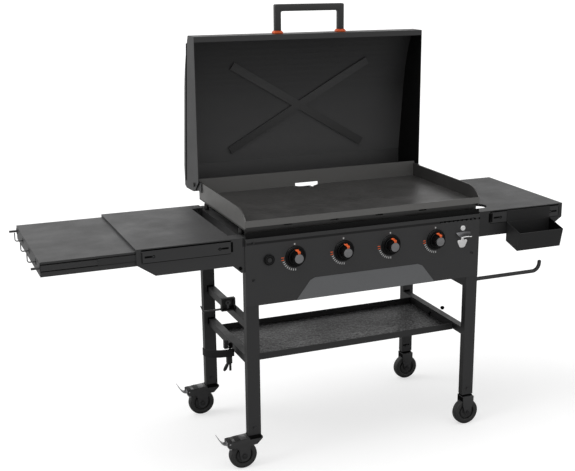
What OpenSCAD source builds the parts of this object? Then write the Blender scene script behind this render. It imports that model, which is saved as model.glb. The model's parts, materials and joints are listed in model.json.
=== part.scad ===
// Outdoor gas griddle station: a four burner flat plate with a hinged hood on a wheeled cart.
// Millimetres. X runs to the right seen from the front, Y to the back, Z up from the ground.
// The hood is drawn open and the side shelf's extension pulled out.

/* [Griddle plate] */
// Width of the cooking surface between its side walls
cook_w = 914; // [800:1:1000]
// Depth of the cooking surface from front lip to rear wall
cook_d = 509; // [470:1:520]
// Height of the cooking surface above the ground
cook_h = 900; // [880:1:960]
// Thickness of the plate's steel
plate_t = 5; // [4:0.5:8]
// Height of the side walls above the cooking surface
side_wall_h = 50; // [35:1:70]
// Height of the rear wall above the cooking surface
rear_wall_h = 60; // [40:1:80]
// Height of the front lip above the cooking surface
front_lip_h = 14; // [8:1:25]
// Length over which the side walls come down to the front lip
wall_run = 80; // [50:1:140]
// Width of the grease slot in the rear wall
drain_w = 98; // [60:1:140]
// Height of the grease slot
drain_h = 11; // [7:1:20]
// Distance of the grease slot from the plate's middle
drain_x = -21; // [-150:1:150]

/* [Hood] */
// Outer width of the hood
hood_w = 944; // [940:1:1010]
// Distance from the hinge pins to the hood's front face
hood_reach = 559; // [550:1:600]
// Height of the hood's front face
hood_front_h = 75; // [60:1:100]
// Greatest height of the hood above its rim
hood_rear_h = 182; // [160:1:210]
// Distance from the rim's plane to the hinge pins
hood_rim_drop = 54; // [50:1:58]
// Thickness of the hood's sheet
hood_t = 1.5; // [1:0.1:3]
// Radius of the hinge bolts
hinge_r = 4; // [3:0.5:5]
// Width of the pressed cross on the hood's inside
rib_w = 31; // [20:1:45]
// Height of the pressed cross
rib_h = 7; // [3:0.5:9]

/* [Hood handle] */
// Distance between the two handle posts
handle_span = 269; // [180:1:420]
// Height of the handle over the hood's front face
handle_h = 109; // [80:1:140]
// Width of a handle post
post_w = 30; // [22:1:40]
// Diameter of the handle's bar
bar_d = 22; // [16:1:28]

/* [Cart] */
// Width across the legs
frame_w = 928; // [926:1:940]
// Depth across the legs
frame_d = 533; // [520:1:560]
// Width of a leg tube
leg_w = 47; // [40:1:55]
// Depth of a leg tube
leg_t = 28; // [25:1:34]
// Wall of the square tubes
tube_wall = 1.8; // [1.2:0.1:3]
// Side of the square rails
rail_size = 28; // [22:1:34]
// Height of the lower rails' top
lower_rail_top = 400; // [330:1:440]
// Height of the left upper rail's top
tank_rail_top = 533; // [500:1:600]
// Height of the right upper rail's top
right_rail_top = 596; // [540:1:604]
// Depth of the bottom shelf
tray_d = 350; // [250:1:440]
// Height of the bottom shelf's walls
tray_h = 25; // [15:1:28]

/* [Casters] */
// Diameter of the wheels
wheel_d = 102; // [90:1:108]
// Width of the wheels
wheel_w = 32; // [24:1:34]
// Offset of a swivelling wheel from its stem
trail = 43; // [34:1:46]
// Radius of the wheel bolts
axle_r = 4; // [3:0.5:6]

/* [Control panel] */
// Height of the panel's top edge
panel_top = 851; // [850:1:856]
// Height of the panel's bottom edge
panel_bottom = 610; // [606:1:660]
// Thickness of the sheet metal
sheet = 1.5; // [1:0.1:2]
// Distance between two knobs
knob_pitch = 186; // [160:1:190]
// Height of the knobs
knob_h = 771; // [765:1:785]
// Diameter of a knob's skirt
knob_d = 56; // [44:1:60]
// Length of a knob
knob_len = 30; // [24:1:36]
// Diameter of a knob's bezel
bezel_d = 78; // [66:1:84]
// Travel of a pushed knob
knob_push = 3; // [2:0.5:4]
// Distance of the igniter button from the panel's middle
button_x = -378; // [-390:1:-360]
// Travel of the igniter button
button_travel = 5; // [3:0.5:7]

/* [Shelves] */
// Height of the side shelves' top
shelf_h = 857; // [855:1:865]
// Distance a side shelf reaches out from the legs
shelf_reach = 373; // [340:1:420]
// Depth of the side shelves
shelf_d = 527; // [515:1:530]
// Depth of the shelves' front and rear aprons
apron_h = 96; // [85:1:110]
// Gap between a shelf's inner edge and the legs
shelf_gap = 43; // [30:1:60]
// Travel of the slide out extension
ext_travel = 306; // [200:1:310]
// Height of the extension's sides
ext_h = 49; // [44:1:56]
// Drop of the extension's top below the fixed shelf's top
ext_drop = 9; // [6:1:14]
// Distance between two tool hooks
hook_pitch = 140; // [100:1:150]
// Reach of a tool hook
hook_reach = 27; // [20:1:40]
// Length of the paper towel rod
rod_len = 292; // [285:1:330]
// Diameter of the paper towel rod
rod_d = 12.5; // [8:0.5:16]

/* [Caddy and grease cup] */
// Width of the caddy
caddy_w = 193; // [150:1:230]
// Depth of the caddy at its rim
caddy_d = 92; // [70:1:120]
// Height of the caddy's body
caddy_h = 75; // [50:1:90]
// Width of the grease cup
cup_w = 90; // [70:1:110]
// Depth of the grease cup
cup_d = 62; // [50:1:70]
// Height of the grease cup
cup_h = 75; // [50:1:85]

/* [Hidden] */

// Smoothness of round pieces, and of the outlines built point by point
$fn = 48;
arc_steps = 10;
small_fn = 24;

// Clearances and the overrun of every cut
gap = 0.3;
running = 0.05;
overrun = 1;
half_share = 0.5;

// Colours of the finishes
black_paint = [0.12, 0.12, 0.125];
dark_steel = [0.2, 0.19, 0.18];
grey_plate = [0.36, 0.37, 0.38];
orange = [0.92, 0.38, 0.13];
bright_steel = [0.75, 0.75, 0.76];
brass = [0.75, 0.6, 0.3];
rubber = [0.09, 0.09, 0.09];

// Half sizes of the cart
side_x = frame_w * half_share;
front_y = -frame_d * half_share;
back_y = frame_d * half_share;
leg_in_x = side_x - leg_w;
leg_x = side_x - leg_w * half_share;
leg_front_in_y = front_y + leg_t;
leg_back_in_y = back_y - leg_t;
wheel_r = wheel_d * half_share;
fork_top = 20;
leg_bottom = wheel_d + 24;
leg_top = panel_top - sheet;

// The plate stands back a little from the legs' front faces
plate_setback = 1.5;
plate_side_x = cook_w * half_share + plate_t;
plate_front_y = front_y + plate_setback;
surface_front_y = plate_front_y + plate_t;
surface_back_y = surface_front_y + cook_d;
plate_back_y = surface_back_y + plate_t;
plate_under = cook_h - plate_t;
lip_skirt = 9;
wall_skirt = 19;
drain_point = 44;
spout_len = 40;
spout_wall = 3;
spout_front = 11;
spout_end = 19;
spout_wall_drop = 10;
foot_r = 9;
foot_inset = 14;
foot_front_y = -185;
foot_back_y = 210;
guard_inset = 15;
guard_t = 3;
guard_drop = 32;
guard_slot_w = 30;
guard_slot_h = 5;
guard_slot_shift = -35;
guard_slot_pitch = 177;
guard_slots = 4;
guard_slot_drop = 8;
foot_neck_share = 0.6;

// The hinge pins, and the hood's side outline measured from them
pin_back = 30;
pin_y = plate_back_y + pin_back;
pin_z = cook_h + 33;
hood_side_x = hood_w * half_share;
hood_drop = 33;
hood_slope = 7.3;
hood_tail_slope = 2;
hood_tail = 78;
crown_end = 28;
tail_z = 53;
tail_cut_y = 20;
rim_cut_y = 46;
rim_cut_z = 50;
heel_y = 21;
heel_z = 4;
heel_rise = 13;
rim_flange = 20;
rib_half_w = 287;
rib_half_h = 169;
rib_mid = 267;
handle_base_t = 11;
handle_base_w = 42;
handle_block_w = 44;
handle_block_h = 29;
head_r = 8.5;
head_t = 5;
nut_r = 7;
nut_t = 5;
bracket_t = 4.5;
bracket_h = 36;
bracket_grip = 42;

// Sheet metal of the burner box
box_bottom = panel_bottom + 125;
box_flange = 38;
panel_flange = 26;
shield_rim = 12;
panel_hem = 7;
vent_w = 12;
vent_h = 4.5;
vent_pitch = 18.5;
vent_count = 50;
vent_drop = 14.5;
panel_face = front_y - sheet;

// Nameplate, knobs, valves and burners
name_t = 1;
name_half_bottom = 277;
name_half_top = 206;
name_h = 76;
name_bevel_w = 18;
name_bevel_h = 8;
bezel_t = 6;
bezel_edge = 4;
bezel_hole_r = 8;
knob_top_d = 42;
knob_skirt_t = 7;
knob_cap_d = 33;
knob_cap_t = 1.5;
grip_w = 12;
grip_h = 7;
stem_r = 4;
stem_flat = 1;
stem_in = 13;
stem_grip = 14;
valve_w = 26;
valve_d = 34;
valve_top = 14;
manifold_r = 8;
manifold_drop = 22;
manifold_back = 18;
manifold_reach = 40;
knob_count = 4;
spud_r = 4;
spud_len = 12;
hub_r = 12;
inlet_r = 7.9;
inlet_len = 22;
inlet_hex_r = 9.5;
inlet_hex_t = 18;
inlet_elbow = 9;
burner_r = 12;
burner_wall = 1.5;
mouth_r = 16;
mouth_len = 30;
port_r = 1.5;
port_pitch = 30;
port_count = 13;
tab_t = 2;
electrode_r = 4;
electrode_tip_r = 1.2;
electrode_side = 24;
electrode_y = -170;
electrode_h = 34;
electrode_tip = 8;
module_r = 17;
module_len = 34;
button_r = 14;
button_len = 16;
button_rim = 5;
module_neck_r = 6;
button_rim_t = 7;
button_stem_r = 4;

// Bottle opener on the panel
opener_x = 394;
opener_z = 802;
opener_t = 3;
opener_head_r = 11;
opener_eye_r = 4;
opener_wing_w = 30;
opener_neck_w = 8;
opener_shield_w = 18;
opener_wing_top = 14;
opener_wing_low = 30;
opener_shield_top = 37;
opener_shield_mid = 52;
opener_shield_low = 73;

// Shelf sheets, measured from the leg's outer side
shelf_front_y = front_y + plate_setback;
shelf_back_y = shelf_front_y + shelf_d;
shelf_out_x = side_x + shelf_reach;
shelf_in_x = side_x + shelf_gap;
shelf_under = shelf_h - sheet;
end_flange_h = 54;
corner_cut_w = 62;
tail_w = 30;
tail_h = 27;
strip_front = 50;
shelf_hem = 18;
hem_h = 18;
notch_r = 35;
notch_y = -180;
notch_lip = 9;
rail_plate_out = 3.5;
rail_plate_h = 40;
rail_plate_drop = 8;
rail_plate_inset = 17;
rail_plate_start = 50;
rail_slot_w = 24;
rail_slot_h = 4;
rail_slot_inset = 11;

// The three nested channels of the extension's slides
ext_top = shelf_h - ext_drop;
ext_overlap = 14;
ext_len = ext_travel + ext_overlap;
ext_out_x = shelf_out_x + ext_travel;
channel_h = 24;
slide_drop = 20;
slide_d = 13;
recess_d = 10;
groove_gap = 1;
slide_t = 1.2;
middle_out = 124;
middle_len = 300;
fixed_inset = 8;

// Tool hooks on the extension's end
hook_w = 5;
hook_t = 3;
hook_z = ext_top - 19;
hook_tip = 30;
hook_bend = 8;
hook_first = 7;
hook_plate_w = 14;
hook_plate_h = 18;
hook_plate_t = 1.5;

// Paper towel rod
rod_z = 598;
rod_in = 16;
rod_bend = 30;
rod_turn = 85;
rod_tip = 6;
rod_straight = rod_len - rod_bend * sin(rod_turn) - rod_tip * cos(rod_turn);
rod_plate_r = 14;
rod_plate_t = 3;

// Tank hanger and brace on the left rails
hanger_y = -40;
hanger_w = 44;
hanger_t = 3;
hanger_out = 52;
hanger_up = 22;
arm_w = 26;
arm_t = 4;
arm_len = 68;
arm_tip = 24;
arm_rise = 7;
brace_y = -66;
brace_w = 34;
brace_t = 4;
brace_out = 24;
screw_r = 4;
screw_drop = 33;
screw_grip_r = 9;
screw_grip_h = 26;
paddle_w = 16;
paddle_h = 33;
paddle_t = 4;
cradle_h = 20;
cradle_t = 3;
cradle_near = 22;
cradle_far = 84;
cradle_side = 54;
cradle_bend_share = 0.2;
cradle_z = 356;

// Bottom shelf
tray_t = 1.2;
tray_floor = lower_rail_top - 31;
tray_lip = 8;

// Caddy
caddy_t = 1.2;
caddy_tilt = 15;
caddy_x = 680;
caddy_back_top = 808;
caddy_foot_d = 76;
caddy_hook = 9;
caddy_corner = 4;

// Grease cup and its bracket
cup_t = 1;
cup_top = plate_under - 20;
cup_back = 4;
cup_rim = 9;
cup_taper_share = 0.86;
ledge_t = 1.5;
ledge_w = 14;
ledge_low = 60;

// Casters
socket_t = 3;
socket_h = 36;
stem_pin_r = 6;
fork_t = 2.5;
fork_gap = 4;
fork_wing = 27;
fork_boss_r = 24;
fork_nose = 104;
fork_nose_z = 115;
fork_nose_h = 20;
fork_nose_cut = 8;
fork_top_z = leg_bottom - socket_t - gap;
fork_shoulder = 9;
pedal_w = 30;
pedal_t = 3;
pedal_pin_back = 96;
pedal_pin_r = 3;
pedal_pin_z = 106;
pedal_flat = 6;
pedal_bend = 30;
pedal_angle = 60;
pedal_tip = 24;
shoe_back = 8;
shoe_drop = 25;
axle_head_t = 4;
tyre_t = 13;
wheel_hub_r = 13;
wheel_web_t = 9;
wheel_edge = 3;

// Bolts and screws
bolt_r = 4;
bolt_head_r = 6;
bolt_head_t = 3.5;
bolt_front_y = front_y + leg_t * half_share;
bolt_back_y = shelf_front_y + shelf_back_y - bolt_front_y;
bolt_drop = 21;
bolt_pitch = 85;
bolt_heights = [shelf_h - bolt_drop - bolt_pitch, shelf_h - bolt_drop];
caster_bolt_r = 3;
caster_bolt_up = 24;
caster_bolt_in = 4;
panel_screw_r = 2.5;
screw_head_r = 4.5;
screw_head_t = 2;
screw_shift = -7;
screw_margin = 16;
screw_low = 94;
front_screws = [panel_bottom + screw_low, panel_top - screw_margin];
back_screws = [box_bottom + screw_margin, panel_top - screw_margin];

// Middle of the whole part seen from above, so that the origin lies on the ground below it
hook_out_x = ext_out_x + hook_reach;
hood_back_y = pin_y + hood_rear_h - hood_rim_drop;
caddy_back_y = shelf_front_y - rail_plate_out - sheet - gap;
middle_x = (shelf_out_x - hook_out_x) * half_share;
middle_y = (hood_back_y + caddy_back_y - caddy_d) * half_share;

// Helpers

// Moves a piece from the cart's own middle to the part's origin
module placed() {
  translate([-middle_x, -middle_y, 0])
    children();
}

// A box from its low corner to its high corner
module box(low, high) {
  translate(low)
    cube(high - low);
}

// A round bar along X, Y or Z from a start point
module bar_x(start, r, len) {
  translate(start)
    rotate([0, 90, 0])
      cylinder(r = r, h = len);
}

module bar_y(start, r, len) {
  translate(start)
    rotate([-90, 0, 0])
      cylinder(r = r, h = len);
}

module bar_z(start, r, len) {
  translate(start)
    cylinder(r = r, h = len);
}

// Both sides of the cart
module both_sides() {
  children();
  mirror([1, 0, 0])
    children();
}

// An outline drawn in Y and Z, extruded along X
module side_profile(x, len, points) {
  translate([x, 0, 0])
    rotate([90, 0, 90])
      linear_extrude(len)
        polygon(points);
}

// An outline drawn in X and Z, extruded towards the back
module front_profile(y, len, points) {
  translate([0, y + len, 0])
    rotate([90, 0, 0])
      linear_extrude(len)
        polygon(points);
}

// Points of an arc about a centre
function arc(centre, r, from, to, steps) = [
  for (i = [0 : steps])
    let (a = from + (to - from) * i / steps)
      centre + r * [cos(a), sin(a)]
];

// Unit normal to the left of the way from a to b
function left_normal(a, b) = let (d = b - a) [-d[1], d[0]] / norm(d);

// A closed outline moved in by d, for outlines that run round to the left
function inset(points, d) = let (n = len(points)) [
  for (i = [0 : n - 1])
    let (
      before = left_normal(points[(i + n - 1) % n], points[i]),
      after = left_normal(points[i], points[(i + 1) % n])
    )
      points[i] + d * (before + after) / (1 + before * after)
];

// Cart frame

// A hollow upright tube
module leg(y) {
  difference() {
    box([leg_in_x, y, leg_bottom], [side_x, y + leg_t, leg_top]);
    box([leg_in_x + tube_wall, y + tube_wall, leg_bottom - overrun],
      [side_x - tube_wall, y + leg_t - tube_wall, leg_top + overrun]);
  }
}

// A hollow rail between the two legs of a side, coped into their inner walls
module side_rail(top) {
  difference() {
    box([leg_in_x, leg_front_in_y, top - rail_size],
      [leg_in_x + rail_size, leg_back_in_y, top]);
    rail_bore(top);
  }
}

module rail_bore(top) {
  box([leg_in_x + tube_wall, leg_front_in_y - tube_wall - overrun, top - rail_size + tube_wall],
    [leg_in_x + rail_size - tube_wall, leg_back_in_y + tube_wall + overrun, top - tube_wall]);
}

// Bore for a caster's bolt through the front wall of a leg and into the block inside
module caster_bolt_bore() {
  bar_y([0, -leg_t * half_share - overrun, leg_bottom + caster_bolt_up], caster_bolt_r + running,
    overrun + tube_wall + caster_bolt_in);
}

module leg_frame(upper_top) {
  difference() {
    union() {
      leg(front_y);
      leg(leg_back_in_y);
    }
    rail_bore(upper_top);
    rail_bore(lower_rail_top);
    for (z = bolt_heights)
      for (y = [bolt_front_y, bolt_back_y])
        bar_x([side_x - tube_wall - overrun, y, z], bolt_r + running, tube_wall + 2 * overrun);
    for (z = front_screws)
      bar_y([leg_x + screw_shift, front_y - overrun, z], panel_screw_r + running,
        tube_wall + 2 * overrun);
    for (z = back_screws)
      bar_y([leg_x + screw_shift, back_y - tube_wall - overrun, z], panel_screw_r + running,
        tube_wall + 2 * overrun);
    for (y = [-caster_y, caster_y])
      translate([leg_x, y, 0])
        caster_bolt_bore();
  }
  side_rail(upper_top);
  side_rail(lower_rail_top);
}

module left_leg_frame() {
  color(black_paint) placed() mirror([1, 0, 0])
    leg_frame(tank_rail_top);
}

module right_leg_frame() {
  color(black_paint) placed()
    leg_frame(right_rail_top);
}

module side_panels() {
  color(black_paint) placed() both_sides()
    union() {
      box([side_x - sheet, leg_front_in_y, box_bottom],
        [side_x, leg_back_in_y, leg_top]);
      box([side_x - box_flange, leg_front_in_y, leg_top - sheet],
        [side_x, leg_back_in_y, leg_top]);
    }
}

// Row of small vents under the panel's top edge
module vent_row() {
  for (i = [0 : vent_count - 1]) {
    x = (i - (vent_count - 1) * half_share) * vent_pitch;
    box([x - vent_w * half_share, panel_face - overrun, panel_top - vent_drop - vent_h],
      [x + vent_w * half_share, front_y + overrun, panel_top - vent_drop]);
  }
}

module front_panel() {
  color(black_paint) placed()
    difference() {
      union() {
        box([-side_x, panel_face, panel_bottom], [side_x, front_y, panel_top]);
        box([-side_x, panel_face, leg_top], [side_x, front_y + panel_flange, panel_top]);
        box([-leg_in_x, panel_face, panel_bottom],
          [leg_in_x, front_y + panel_hem, panel_bottom + sheet]);
      }
      vent_row();
      for (i = [0 : knob_count - 1])
        bar_y([knob_x(i), panel_face - overrun, knob_h], bezel_hole_r, sheet + 2 * overrun);
      bar_y([button_x, panel_face - overrun, knob_h], module_neck_r + running,
        sheet + 2 * overrun);
      for (z = front_screws)
        both_sides()
          bar_y([leg_x + screw_shift, panel_face - overrun, z], panel_screw_r + running,
            sheet + 2 * overrun);
    }
}

module back_panel() {
  color(black_paint) placed()
    difference() {
      union() {
        box([-side_x, back_y, box_bottom], [side_x, back_y + sheet, panel_top]);
        box([-side_x, back_y - panel_flange, leg_top],
          [side_x, back_y + sheet, panel_top]);
      }
      for (z = back_screws)
        both_sides()
          bar_y([leg_x + screw_shift, back_y - overrun, z], panel_screw_r + running,
            sheet + 2 * overrun);
    }
}

// Pan below the burners, hung between the side panels
module heat_shield() {
  color(dark_steel) placed()
    difference() {
      box([sheet - side_x, leg_front_in_y, box_bottom],
        [side_x - sheet, leg_back_in_y, box_bottom + shield_rim]);
      box([2 * sheet - side_x, leg_front_in_y + sheet, box_bottom + sheet],
        [side_x - 2 * sheet, leg_back_in_y - sheet, box_bottom + shield_rim + overrun]);
    }
}

// Bare grey plate on the lower part of the control panel
module nameplate() {
  top = panel_bottom + name_h;
  color(grey_plate) placed()
    front_profile(panel_face - name_t, name_t, [
      [-name_half_bottom, panel_bottom],
      [name_half_bottom, panel_bottom],
      [name_half_top + name_bevel_w, top - name_bevel_h],
      [name_half_top, top],
      [-name_half_top, top],
      [-name_half_top - name_bevel_w, top - name_bevel_h]
    ]);
}

// Controls and gas train

function knob_x(i) = (i - (knob_count - 1) * half_share) * knob_pitch;

module knob_bezels() {
  color(black_paint) placed()
    for (i = [0 : knob_count - 1])
      translate([knob_x(i), panel_face, knob_h])
        rotate([90, 0, 0])
          rotate_extrude()
            polygon([
              [bezel_hole_r, 0],
              [bezel_d * half_share, 0],
              [bezel_d * half_share - bezel_edge, bezel_t],
              [knob_d * half_share + gap, bezel_t],
              [knob_d * half_share + gap, bezel_t - bezel_edge],
              [bezel_hole_r, bezel_t - bezel_edge]
            ]);
}

// The knob's back stands clear of the bezel's dish by more than its push
knob_back = panel_face - bezel_t + bezel_edge - knob_push - gap;
stem_tip = knob_back - stem_grip;

// Push and turn gas valve, saddled on the manifold pipe
module gas_valves() {
  color(brass) placed()
    for (i = [0 : knob_count - 1])
      translate([knob_x(i), 0, 0])
        difference() {
          union() {
            box([-valve_w * half_share, front_y, knob_h - manifold_drop],
              [valve_w * half_share, front_y + valve_d, knob_h + valve_top]);
            bar_y([0, panel_face, knob_h], bezel_hole_r - gap, 2 * sheet);
            bar_y([0, front_y + valve_d, knob_h], spud_r, spud_len);
          }
          bar_x([-valve_w, front_y + manifold_back, knob_h - manifold_drop], manifold_r,
            2 * valve_w);
          bar_y([0, panel_face - overrun, knob_h], stem_r + running,
            stem_in + sheet + overrun + gap);
        }
}

// Shaft with a flat, turned by its knob
module valve_stem(i) {
  color(brass) placed()
    translate([knob_x(i), stem_tip, knob_h])
      difference() {
        bar_y([0, 0, 0], stem_r, front_y + stem_in - stem_tip);
        box([-stem_r, -overrun, stem_r - stem_flat],
          [stem_r, stem_grip + knob_push + gap, stem_r + overrun]);
      }
}

module valve_stem_1() {
  valve_stem(0);
}

module valve_stem_2() {
  valve_stem(1);
}

module valve_stem_3() {
  valve_stem(2);
}

module valve_stem_4() {
  valve_stem(3);
}

// Knob with a skirt, a tapered body, a grip bar and a flat cap
module knob(i) {
  front = knob_len - knob_cap_t;
  color(black_paint) placed()
    translate([knob_x(i), knob_back, knob_h])
      rotate([90, 0, 0])
        difference() {
          union() {
            rotate_extrude()
              polygon([
                [0, 0],
                [knob_d * half_share, 0],
                [knob_d * half_share, knob_skirt_t - knob_cap_t],
                [knob_d * half_share - knob_cap_t, knob_skirt_t],
                [knob_top_d * half_share + knob_cap_t, knob_skirt_t],
                [knob_top_d * half_share, front],
                [knob_cap_d * half_share, front],
                [knob_cap_d * half_share, knob_len],
                [0, knob_len]
              ]);
            box([-grip_w * half_share, 0, knob_skirt_t],
              [grip_w * half_share, knob_top_d * half_share + grip_h * half_share,
                front]);
          }
          difference() {
            translate([0, 0, -overrun])
              cylinder(r = stem_r + running, h = stem_grip + knob_push + gap + overrun);
            box([-stem_r - overrun, stem_r - stem_flat + running, -2 * overrun],
              [stem_r + overrun, 2 * stem_r, stem_grip + knob_len]);
          }
        }
}

module knob_1() {
  knob(0);
}

module knob_2() {
  knob(1);
}

module knob_3() {
  knob(2);
}

module knob_4() {
  knob(3);
}

// Pipe behind the panel that carries gas to the four valves
manifold_end = knob_x(knob_count - 1) + manifold_reach;

module gas_manifold() {
  color(dark_steel) placed()
    bar_x([-manifold_end, front_y + manifold_back, knob_h - manifold_drop], manifold_r,
      2 * manifold_end);
}

// Elbow at the manifold's left end with a threaded inlet below, where a hose would be screwed on
module gas_inlet() {
  color(brass) placed()
    translate([-manifold_end - inlet_elbow, front_y + manifold_back, knob_h - manifold_drop])
      union() {
        box([-inlet_elbow, -inlet_elbow, -inlet_elbow], [inlet_elbow, inlet_elbow, inlet_elbow]);
        translate([0, 0, -inlet_elbow - inlet_hex_t])
          cylinder(r = inlet_hex_r, h = inlet_hex_t, $fn = 6);
        bar_z([0, 0, -inlet_elbow - inlet_hex_t - inlet_len], inlet_r, inlet_len);
      }
}

// Tube burner from the valve's spud to a tab on the back panel
module burners() {
  spud_y = front_y + valve_d + gap;
  tube_end = back_y - 2 * mouth_len;
  color(dark_steel) placed()
    for (i = [0 : knob_count - 1])
      translate([knob_x(i), 0, knob_h])
        union() {
          difference() {
            union() {
              bar_y([0, spud_y, 0], mouth_r, mouth_len);
              bar_y([0, spud_y, 0], burner_r, tube_end - spud_y);
            }
            bar_y([0, spud_y - overrun, 0], burner_r - burner_wall,
              tube_end - spud_y - burner_wall);
            for (k = [0 : port_count - 1])
              bar_z([0, spud_y + 2 * mouth_len + k * port_pitch, 0], port_r,
                burner_r + overrun);
          }
          box([-mouth_r, tube_end, -tab_t * half_share],
            [mouth_r, back_y, tab_t * half_share]);
          box([-mouth_r, back_y - tab_t, -mouth_r], [mouth_r, back_y, mouth_r]);
          burner_foot(spud_y);
        }
}

// Foot that carries the burner's mouth on the pan below
module burner_foot(spud_y) {
  box([-mouth_r * half_share, spud_y + mouth_len - tab_t, box_bottom + sheet - knob_h],
    [mouth_r * half_share, spud_y + mouth_len, -burner_r]);
}

module igniter_electrodes() {
  base = box_bottom + sheet;
  color(bright_steel) placed()
    for (i = [0 : knob_count - 1])
      translate([knob_x(i) + electrode_side, electrode_y, base])
        union() {
          cylinder(r = electrode_r, h = electrode_h, $fn = small_fn);
          bar_x([-electrode_tip, 0, electrode_h - 2 * electrode_tip_r], electrode_tip_r,
            electrode_tip);
        }
}

// Battery case of the igniter, clamped behind the panel
module igniter_module() {
  color(black_paint) placed()
    difference() {
      union() {
        bar_y([button_x, front_y, knob_h], module_r, module_len);
        bar_y([button_x, panel_face - button_rim_t, knob_h], button_r + button_rim,
          button_rim_t);
        bar_y([button_x, panel_face, knob_h], module_neck_r, sheet);
      }
      bar_y([button_x, panel_face - button_rim_t - overrun, knob_h], button_r + running,
        button_rim_t + overrun);
      bar_y([button_x, panel_face - overrun, knob_h], button_stem_r + running,
        button_len + button_travel);
    }
}

module igniter_button() {
  face = panel_face - button_rim_t - button_travel * half_share;
  color(black_paint) placed()
    union() {
      bar_y([button_x, face, knob_h], button_r, panel_face - button_travel - gap - face);
      bar_y([button_x, face, knob_h], button_stem_r, button_len + button_rim_t);
    }
}

// Flat opener with an eye, two wings and a pointed shield
module bottle_opener() {
  color(bright_steel) placed()
    translate([opener_x, 0, opener_z])
      difference() {
        union() {
          bar_y([0, panel_face - opener_t, 0], opener_head_r, opener_t);
          front_profile(panel_face - opener_t, opener_t, [
            [-opener_neck_w * half_share, 0],
          [-opener_neck_w * half_share, -opener_wing_top],
          [-opener_wing_w, -opener_wing_top],
          [-opener_shield_w - opener_neck_w * half_share, -opener_wing_low],
          [-opener_shield_w, -opener_shield_top],
          [-opener_shield_w, -opener_shield_mid],
          [-opener_neck_w, -opener_shield_low],
          [opener_neck_w, -opener_shield_low],
          [opener_shield_w, -opener_shield_mid],
          [opener_shield_w, -opener_shield_top],
          [opener_shield_w + opener_neck_w * half_share, -opener_wing_low],
          [opener_wing_w, -opener_wing_top],
          [opener_neck_w * half_share, -opener_wing_top],
          [opener_neck_w * half_share, 0]
        ]);
        }
        bar_y([0, panel_face - opener_t - overrun, 0], opener_eye_r,
          opener_t + 2 * overrun);
      }
}

// Bottom shelf: a shallow tray bolted between the lower rails
module bottom_shelf() {
  inner = leg_in_x;
  color(black_paint) placed()
    difference() {
      box([-inner, -tray_d * half_share, tray_floor],
        [inner, tray_d * half_share, tray_floor + tray_h]);
      box([tray_t - inner, tray_t - tray_d * half_share, tray_floor + tray_t],
        [inner - tray_t, tray_d * half_share - tray_t, tray_floor + tray_h + overrun]);
    }
}

// Side shelves

// A bent sheet: the way of one face, thickened to its left
function thicken(path, d) = let (n = len(path)) concat(path, [
  for (k = [0 : n - 1])
    let (
      i = n - 1 - k,
      before = left_normal(path[max(i - 1, 0)], path[max(i, 1)]),
      after = left_normal(path[min(i, n - 2)], path[min(i + 1, n - 1)])
    )
      path[i] + d * (before + after) / (1 + before * after)
]);

// Front apron of a shelf with its gusset of a given drop and the tab on the leg
module shelf_apron(gusset) {
  low = shelf_h - apron_h;
  difference() {
    union() {
      front_profile(shelf_front_y, sheet, [
        [side_x, shelf_h],
        [side_x, low - gusset],
        [shelf_in_x - tail_w, low - gusset],
        [shelf_in_x, low],
        [shelf_out_x - corner_cut_w, low],
        [shelf_out_x, shelf_h - end_flange_h],
        [shelf_out_x, shelf_h]
      ]);
      box([side_x, shelf_front_y, low - tail_h], [side_x + sheet, leg_front_in_y, shelf_h]);
      box([side_x, shelf_front_y, shelf_under], [shelf_in_x, shelf_front_y + strip_front, shelf_h]);
      box([shelf_in_x, shelf_front_y, low],
        [shelf_out_x - corner_cut_w, shelf_front_y + shelf_hem, low + sheet]);
    }
    for (z = bolt_heights)
      bar_x([side_x - overrun, bolt_front_y, z], bolt_r + running, sheet + 2 * overrun);
  }
}

// The right side's shelf body; its end flange reaches down to a given height
module shelf_body(end_low, gusset) {
  middle = (shelf_front_y + shelf_back_y) * half_share;
  shelf_apron(gusset);
  translate([0, 2 * middle, 0])
    mirror([0, 1, 0])
      shelf_apron(gusset);
  box([shelf_in_x, shelf_front_y, shelf_under], [shelf_out_x, shelf_back_y, shelf_h]);
  box([shelf_in_x, shelf_front_y + strip_front, shelf_under - hem_h],
    [shelf_in_x + sheet, shelf_back_y - strip_front, shelf_h]);
  box([shelf_out_x - sheet, shelf_front_y, end_low], [shelf_out_x, shelf_back_y, shelf_h]);
}

module left_shelf() {
  color(black_paint) placed() mirror([1, 0, 0])
    shelf_body(ext_top + gap, tail_h);
}

// The right shelf has a rounded notch at its inner edge
module right_shelf() {
  color(black_paint) placed()
    difference() {
      union() {
        shelf_body(shelf_h - end_flange_h, 0);
        intersection() {
          bar_z([shelf_in_x, notch_y, shelf_h - notch_lip], notch_r + sheet, notch_lip);
          box([shelf_in_x, notch_y - 2 * notch_r, shelf_h - notch_lip],
            [shelf_in_x + 2 * notch_r, notch_y + 2 * notch_r, shelf_h]);
        }
      }
      bar_z([shelf_in_x, notch_y, shelf_under - hem_h - overrun], notch_r,
        hem_h + sheet + 2 * overrun);
    }
}

// Slotted rails on the fronts of both shelves; the caddy hangs on the right one
rail_plate_top = shelf_h - rail_plate_drop;

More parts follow.
